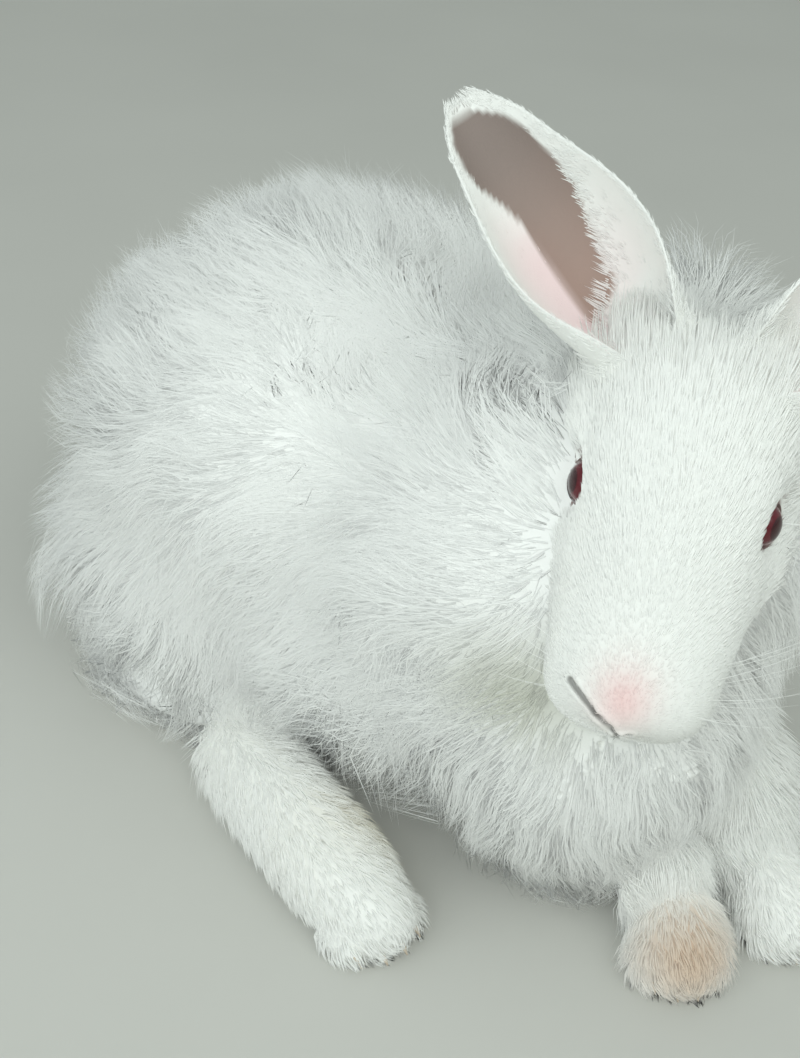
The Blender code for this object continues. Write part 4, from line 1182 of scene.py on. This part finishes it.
def wool():
    """The long wool of the body and neck: fine fibres in locks over a thicker under-layer."""
    low = 1.0 - 0.15 * (1.0 - ramp(skin_points[faces[:, 0], 2], 0.004, 0.02))
    roots, _ = roots_on(surface, (face_owner == "core") * low, WOOL_COUNT)
    count = len(roots)
    fine = rng.random(count) < FINE_SHARE
    breast = ramp(-roots[:, 1], 0.085, 0.13)
    low = 1.0 - ramp(roots[:, 2], 0.03, 0.09)
    lengths = (WOOL_LENGTH + 0.006 * low - 0.010 * breast) * rng.uniform(0.75, 1.15, count)
    long_ones = fine & (rng.random(count) < LONG_SHARE)
    stand = rng.normal(0.0, 0.0020, count)
    stand = stand + np.where(long_ones, rng.uniform(0.001, 0.009, count), 0.0) * (1 - 0.8 * breast)
    lumps = np.clip(wander(roots, 0.022, 11)[:, 0], -1.2, 1.6) * 0.0035 * (1.0 - 0.7 * breast)
    mane = around(roots, MANE_MIDDLE, MANE_SIZE)
    locks = ramp(wander(roots, LOCK_SIZE, 21)[:, 0], 0.1, 1.0) * np.maximum(1.0 - 0.8 * breast, mane)
    rear = ramp(roots[:, 1], -0.05, 0.03) * (1.0 - 0.7 * ramp(roots[:, 2], 0.09, 0.16))
    wisps = ramp(wander(roots, WISP_SIZE, 31)[:, 0], 0.05, 0.8) * rear
    lumps = lumps + locks * (0.0015 + 0.0060 * low + 0.003 * mane) + wisps * 0.010
    lengths = lengths + (0.012 * locks - 0.009 * (1.0 - locks)) * low + 0.010 * wisps
    lumps = lumps + around(roots, CREST_MIDDLE, CREST_SIZE) * (0.003 + 0.006 * locks)
    rise = np.maximum(coat_depth(roots), 0.010) + lumps + stand * (0.6 + 0.4 * (1 - breast))
    rise = rise - np.where(fine, 0.0, 0.003)
    behind_cheek = around(roots, head_point((-0.030, -0.045, -0.010)), 0.035)
    stray = np.select([long_ones, fine], [0.75, 0.42], 0.20) * (1.0 - 0.3 * breast)
    stray = stray * (1.0 - 0.6 * behind_cheek)
    paths = clumped(wool_paths(roots, lengths, rise, 4, stray), 0.0036, 0.35)
    pull = (0.35 + 0.35 * locks + 0.2 * wisps) * (1.0 - 0.6 * breast) * (0.7 + 0.5 * low) + 0.35 * mane
    paths = clumped(paths, 0.010, np.minimum(pull, 0.85))
    half = np.where(fine, *(rng.uniform(*HALF_WIDTHS[kind], count) for kind in ("fine", "under")))
    for _ in range(2):
        blocked = ~clear_of_eyes(paths, VIEW_SHORTER)
        paths[blocked] = paths[blocked, :1] + (paths[blocked] - paths[blocked, :1]) * 0.35
    clear = clear_of_eyes(paths, VIEW_CLEAR) & ~in_face(paths[:, 2]) & ~in_face(paths[:, 3])
    # Painted shade deep in the wool: tufts darken toward their roots in the gaps between locks low on the
    # body and in the mane.
    shade = 0.14 * np.maximum(locks * low, 0.5 * mane)
    paths, roots, half, fine, shade = (values[clear] for values in (paths, roots, half, fine, shade))
    outward = coat_normals(paths[:, 2])
    tone = rng.uniform(0.98, 1.01, (len(roots), 1))
    # Painted shade near the skin: every tuft darkens a little toward its root, on top of the shade above.
    root_shade_steps = zip((0.03, 0.01, 0.0, 0.0), (1.0, 0.6, 0.1, 0.0))
    painted_shade_factors = [(1.0 - deep - shade * share)[:, None] for deep, share in root_shade_steps]
    colour = np.stack([wool_tint(paths[:, k]) * tone * dark for k, dark in enumerate(painted_shade_factors)], axis=1)
    patches = unwrap(roots, "core")
    neck = (roots - NECK_MIDDLE) @ NECK_WAY > 0
    groups = np.select([neck, roots[:, 0] < 0], ["neck", "right"], "left").astype(object)
    groups = groups + np.where(fine, "_fine", "_under")

    def build(name, part):
        finish = (WOOL, 1.0, "wool", "neck" if "neck" in name else "torso")
        tuft_piece(name, paths[part], half[part], outward[part], colour[part], patches[part], finish)

    pieces_of("wool", groups, build)


def tail_wool():
    """The tail's wool, which points to its tip."""
    roots, normals = roots_on(surface, (face_owner == "tail").astype(float), TAIL_COUNT)
    lie = unit(TAIL_TIP - TAIL_ROOT) + rng.normal(0, 0.2, roots.shape)
    lengths = rng.uniform(*TAIL_LENGTHS, len(roots))
    paths = laid_paths(roots, normals, lie, lengths, rng.uniform(0.30, 0.60, len(roots)), 4)
    paths = clumped(paths, 0.006, 0.4)
    half = rng.uniform(*HALF_WIDTHS["tail"], len(roots))
    finish = (WOOL, 0.9, "wool", "tail")
    tuft_piece("wool_tail", paths, half, normals, wool_tint(roots), unwrap(roots, "tail"), finish)


def head_fur():
    """Short fur that lies back from the nose and grows long on the cheeks and behind the jaw."""
    place = in_head(skin_points[faces].mean(axis=1))
    weights = (face_owner == "head") * (0.45 + 0.55 * ramp(place[:, 0], -0.03, 0.0))
    roots, normals = roots_on(surface, weights, HEAD_COUNT)
    far = np.minimum.reduce([nearest_of(roots, cloud) for cloud in face_lines.values()])
    rings, aways = zip(*(lid_place(roots, side) for side in SIDES.values()))
    ring, away = np.minimum(*rings), np.where((rings[0] < rings[1])[:, None], *aways)
    keep = (far > 0.0010) & (ring > 1.08)
    roots, normals, far, ring, away = (values[keep] for values in (roots, normals, far, ring, away))
    place = in_head(roots)
    ahead, aside, up = place.T
    lie = (place - (0.080, 0.0, -0.004)) @ HEAD
    cheek = ramp(np.abs(aside), 0.016, 0.030) * ramp(-up, 0.004, 0.022) * (1.0 - ramp(ahead, 0.012, 0.034))
    stations = ((-0.06, 0.017), (-0.03, 0.012), (0.0, 0.0065), (0.02, 0.0050), (0.04, 0.0036))
    lengths = along((*stations, (0.058, 0.0022), (0.07, 0.0016)), ahead)
    lengths = (lengths + 0.007 * cheek) * rng.uniform(0.75, 1.2, len(roots))
    in_front = ramp(unit(away) @ HEAD[0], -0.3, 0.5)
    short = np.minimum(ramp(ring, 1.0, 1.5 + 0.9 * in_front), ramp(far, 0.0006, 0.005))
    lengths = np.minimum(lengths, 0.0015 + 0.006 * short + np.where(short >= 1.0, 1.0, 0.0))
    by_ear = sum(around(place, (-0.034, side * 0.024, 0.022), 0.018) for side in SIDES.values())
    lengths = lengths + 0.009 * by_ear
    lean = 0.20 + 0.22 * cheek + 0.2 * ramp(-ahead, 0.0, 0.04) + 0.25 * by_ear
    lean = np.clip(lean + rng.normal(0, 0.05, len(roots)), 0.12, 0.75)
    lie = unit(lie) + wander(roots, 0.02, 9) * 0.12 + rng.normal(0, 0.10, roots.shape)
    lie = lie - np.array((0, 0, 0.5)) * cheek[:, None]
    paths = clumped(laid_paths(roots, normals, lie, lengths, lean, 3), 0.0022, 0.25)
    half = np.clip(lengths * 0.07, 0.00016, 0.00040)
    in_wool = 1.0 - ramp(outside_coat(paths[:, -1]), -0.004, 0.004)[:, None]
    outward = unit(normals * (1.0 - in_wool) + coat_normals(paths[:, -1]) * in_wool)
    tint = fur_tint(roots, all_of(roots, "head"), face_lines) * rng.uniform(0.96, 1.02, (len(roots), 1))
    patches = unwrap(roots, "head")

    def build(name, part):
        finish = (FUR, 0.85, "short_fur", "head")
        tuft_piece(name, paths[part], half[part], outward[part], tint[part], patches[part], finish)

    pieces_of("head_fur", np.where(aside < 0, "right", "left"), build)


def ear_fur(name, side):
    """One ear's fur: short outside, dense on the inner margin, and a fringe beside the bare strip."""
    u, v = rng.random(EAR_COUNT) ** 0.9, rng.uniform(-1, 1, EAR_COUNT)
    inner = rng.random(EAR_COUNT) < 0.5
    edge_u = rng.uniform(0.15, 0.8, FRINGE_COUNT)
    edge_v = np.interp(edge_u, *np.array(STRIP_INNER).T) - rng.uniform(0.02, 0.3, FRINGE_COUNT)
    u, v, inner = np.append(u, edge_u), np.append(v, edge_v), np.append(inner, np.ones(FRINGE_COUNT, bool))
    strip, before, _ = on_strip(u, v)
    keep = ~inner | (strip < 0.4)
    u, v, inner, before = u[keep], v[keep], inner[keep], before[keep]
    here = ear_points(side, u, v)
    along_ear = unit(ear_points(side, u + 0.01, v) - here)
    over_ear = unit(ear_points(side, u, v + 0.01) - here)
    normals = ear_hollow(side, u, v) * np.where(inner, 1.0, -1.0)[:, None]
    margin = ramp(np.abs(v), 0.75, 1.0)
    roots = here + normals * (EAR_THICKNESS * 0.3 * (1.0 - 0.75 * ramp(np.abs(v), 0.72, 1.0)))[:, None]
    fringe = inner * (before > 0.0) * (1.0 - ramp(before, 0.05, 0.35))
    fringe = fringe * ramp(u, 0.1, 0.2) * (1.0 - ramp(u, 0.5, 0.8))
    root = 1.0 - ramp(u, 0.02, 0.22)
    lengths = 0.0030 + 0.0025 * (1 - ramp(u, 0.0, 0.35)) + 0.0060 * root + 0.0008 * margin + 0.0035 * fringe
    lengths = lengths * rng.uniform(0.7, 1.25, len(u))
    lie = along_ear + over_ear * (0.10 * np.sign(v) * margin + 0.50 * fringe)[:, None]
    lie = lie + rng.normal(0, 0.12, roots.shape)
    lean = np.clip(0.16 - 0.04 * margin + 0.25 * root + rng.normal(0, 0.05, len(u)), 0.08, 0.6)
    paths = clumped(laid_paths(roots, normals, lie, lengths, lean, 3), 0.0030, 0.25)
    half = np.clip(lengths * 0.05, 0.00014, 0.00026)
    tint = ear_tint(u, v, inner.astype(float)) * rng.uniform(0.96, 1.02, (len(u), 1))
    rim = np.maximum.reduce([margin, ramp(u, 0.85, 0.97), root])[:, None]
    normals = unit(normals * (1.0 - 0.85 * rim) + HEAD[2] * 0.85 * rim)
    finish = (FUR, 0.7, "ear_skin", "ear_" + name)
    tuft_piece("ear_fur_" + name, paths, half, normals, tint, unwrap(roots, "ear_" + name), finish)


def leg_fur(name):
    """One leg's fur, which lies down the limb and along the foot to the toes."""
    roots, normals = roots_on(surface, (face_owner == name).astype(float), LEG_COUNT[name.split("_")[0]])
    heel, toes, _, ahead, _ = foot_of(name)
    share = (roots - heel) @ ahead / np.linalg.norm(toes - heel)
    up_limb = ramp(roots[:, 2], 0.028, 0.045)
    lie = ahead * (1 - up_limb)[:, None] - np.array((0, 0, 1.0)) * (0.25 + 0.9 * up_limb)[:, None]
    lie = lie + rng.normal(0, 0.13, roots.shape)
    stations = ((-1.0, 0.016), (0.0, 0.015), (0.4, 0.012), (0.85, 0.0075), (1.0, 0.0055), (2.0, 0.005))
    lengths = (along(stations, np.clip(share, -1, 2)) + 0.004 * up_limb) * rng.uniform(0.7, 1.2, len(roots))
    lean = np.clip(0.38 + rng.normal(0, 0.08, len(roots)), 0.15, 0.7)
    paths = clumped(laid_paths(roots, normals, lie, lengths, lean, 3), 0.0045, 0.45)
    half = np.clip(lengths * 0.055, 0.00022, 0.00045)
    tint = fur_tint(roots, all_of(roots, name), face_lines) * rng.uniform(0.95, 1.02, (len(roots), 1))
    tuft_piece("fur_" + name, paths, half, normals, tint, unwrap(roots, name), (FUR, 0.7, "short_fur", name))


def build_eye(name, side):
    """One eye: a dark ruby pupil in a deep pink iris, under the bulge of its cornea."""
    centre, look, length, height = eye_axes(side)
    radius = EYE_RADIUS - 0.0002

    def surface(s, angle):
        polar = s * np.pi
        bulge = 1.0 + 0.07 * np.exp(-((polar / 0.62) ** 4))
        ball = np.stack([np.sin(polar) * np.cos(angle), np.sin(polar) * np.sin(angle), np.cos(polar)], axis=1)
        return centre + ball @ np.stack([length, height, look]) * (radius * bulge)[:, None]

    eye = ball_of("eye_" + name + "_ball", surface, 64, 48)
    away = unit(points_of(eye) - centre)
    polar = np.arccos(np.clip(away @ look, -1, 1))
    turn = np.arctan2(away @ height, away @ length)
    streaks = 0.5 + 0.5 * np.sin(turn * 34 + 3 * np.sin(turn * 5)) * np.sin(polar * 60)
    colour = np.broadcast_to(PUPIL, away.shape)
    colour = mixed(colour, IRIS, ramp(polar, 0.38, 0.46) * (0.75 + 0.25 * streaks))
    colour = mixed(colour, IRIS_RIM, ramp(polar, 0.98, 1.08))
    # The sclera beyond the iris gets its painted shade.
    colour = mixed(colour, SCLERA_IN_SHADE, ramp(polar, 1.10, 1.22))
    set_tint(eye, colour)
    smooth(eye)
    eye.data.materials.append(EYE)
    part_of_rabbit(eye, "eye", "eye_" + name)


def tubes_object(name, tubes):
    """One object of all these tubes, each given as its path, its radii and its number of sides."""
    points, faces, start = [], [], 0
    for path, radii, sides in tubes:
        more, corners = tube(path, radii, sides)
        points.append(more)
        faces.append(corners + start)
        start += len(more)
    return mesh_object(name, np.concatenate(points), np.concatenate(faces))


def build_claws(name):
    """The claws of one foot, which show between the fur of its toes."""
    _, toes, half_width, ahead, side = foot_of(name)
    tubes = []
    for place in TOE_PLACES:
        front = toes + side * (place * half_width) - ahead * (0.0025 + abs(place) * 0.008)
        front = front + (0.0, 0.0, 0.0054)
        curve = [front + ahead * 0.0028 - (0, 0, 0.0005), front + ahead * 0.0052 - (0, 0, 0.0022)]
        tubes.append(([front - ahead * 0.004, front, *curve], (0.0012, 0.0013, 0.0009, 0.0002), 8))
    claws = tubes_object("claws_" + name, tubes)
    smooth(claws)
    claws.data.materials.append(HORN)
    part_of_rabbit(claws, "short_fur")


def build_whiskers(name, side):
    """The whiskers of one side, from four rows on its pad."""
    tubes = []
    share = np.linspace(0, 1, 8)[:, None]
    for row in range(4):
        for i in range(4):
            root = np.array((0.058 - 0.0045 * i, 0.0155 + 0.0012 * i, -0.006 - 0.0035 * row))
            way = np.array((0.15 - 0.22 * i, 1.0, 0.22 - 0.28 * row)) + rng.normal(0, 0.08, 3)
            length = (0.026 + 0.006 * i) * rng.uniform(0.85, 1.15)
            droop = np.array((-0.25, 0, -0.22)) * length * share**2
            path = head_point(root + unit(way) * length * share + droop, side)
            tubes.append((path, 0.00011 * (1 - 0.8 * share[:, 0]), 4))
    whiskers = tubes_object("whiskers_" + name, tubes)
    whiskers.data.materials.append(FUR)
    set_tint(whiskers, np.broadcast_to(FUR_WHITE, (len(whiskers.data.vertices), 3)))
    part_of_rabbit(whiskers, "short_fur")


wool()
tail_wool()
head_fur()
for name, side in SIDES.items():
    ear_fur(name, side)
    build_eye(name, side)
    build_whiskers(name, side)
for name in FEET:
    leg_fur(name)
    build_claws(name)


# Floor and light


FLOOR_HALF = 12.0


def make_floor():
    """A plain pale floor."""
    corners = np.array([(-1.0, -1.0, 0.0), (1.0, -1.0, 0.0), (1.0, 1.0, 0.0), (-1.0, 1.0, 0.0)]) * FLOOR_HALF
    floor = mesh_object("floor", corners, np.array([(0, 1, 2, 3)]))
    floor.data.materials.append(floor_material())


def make_daylight(tint, strength):
    """Soft light from all round."""
    world = bpy.data.worlds.new("world")
    world.use_nodes = True
    background = world.node_tree.nodes["Background"]
    background.inputs["Color"].default_value = linear(tint)
    background.inputs["Strength"].default_value = strength
    bpy.context.scene.world = world


make_floor()
# Daylight from a wide window in front of the rabbit and from a second one on its right
make_light("window", (-0.05, -0.95, 1.15), 1.2, 6.6, "F8FFFB")
make_light("fill", (-1.0, -0.2, 0.7), 1.2, 6.9, "F1F9FA")
make_daylight("E7F1EE", 0.58)
bpy.context.scene.view_settings.view_transform = "Standard"
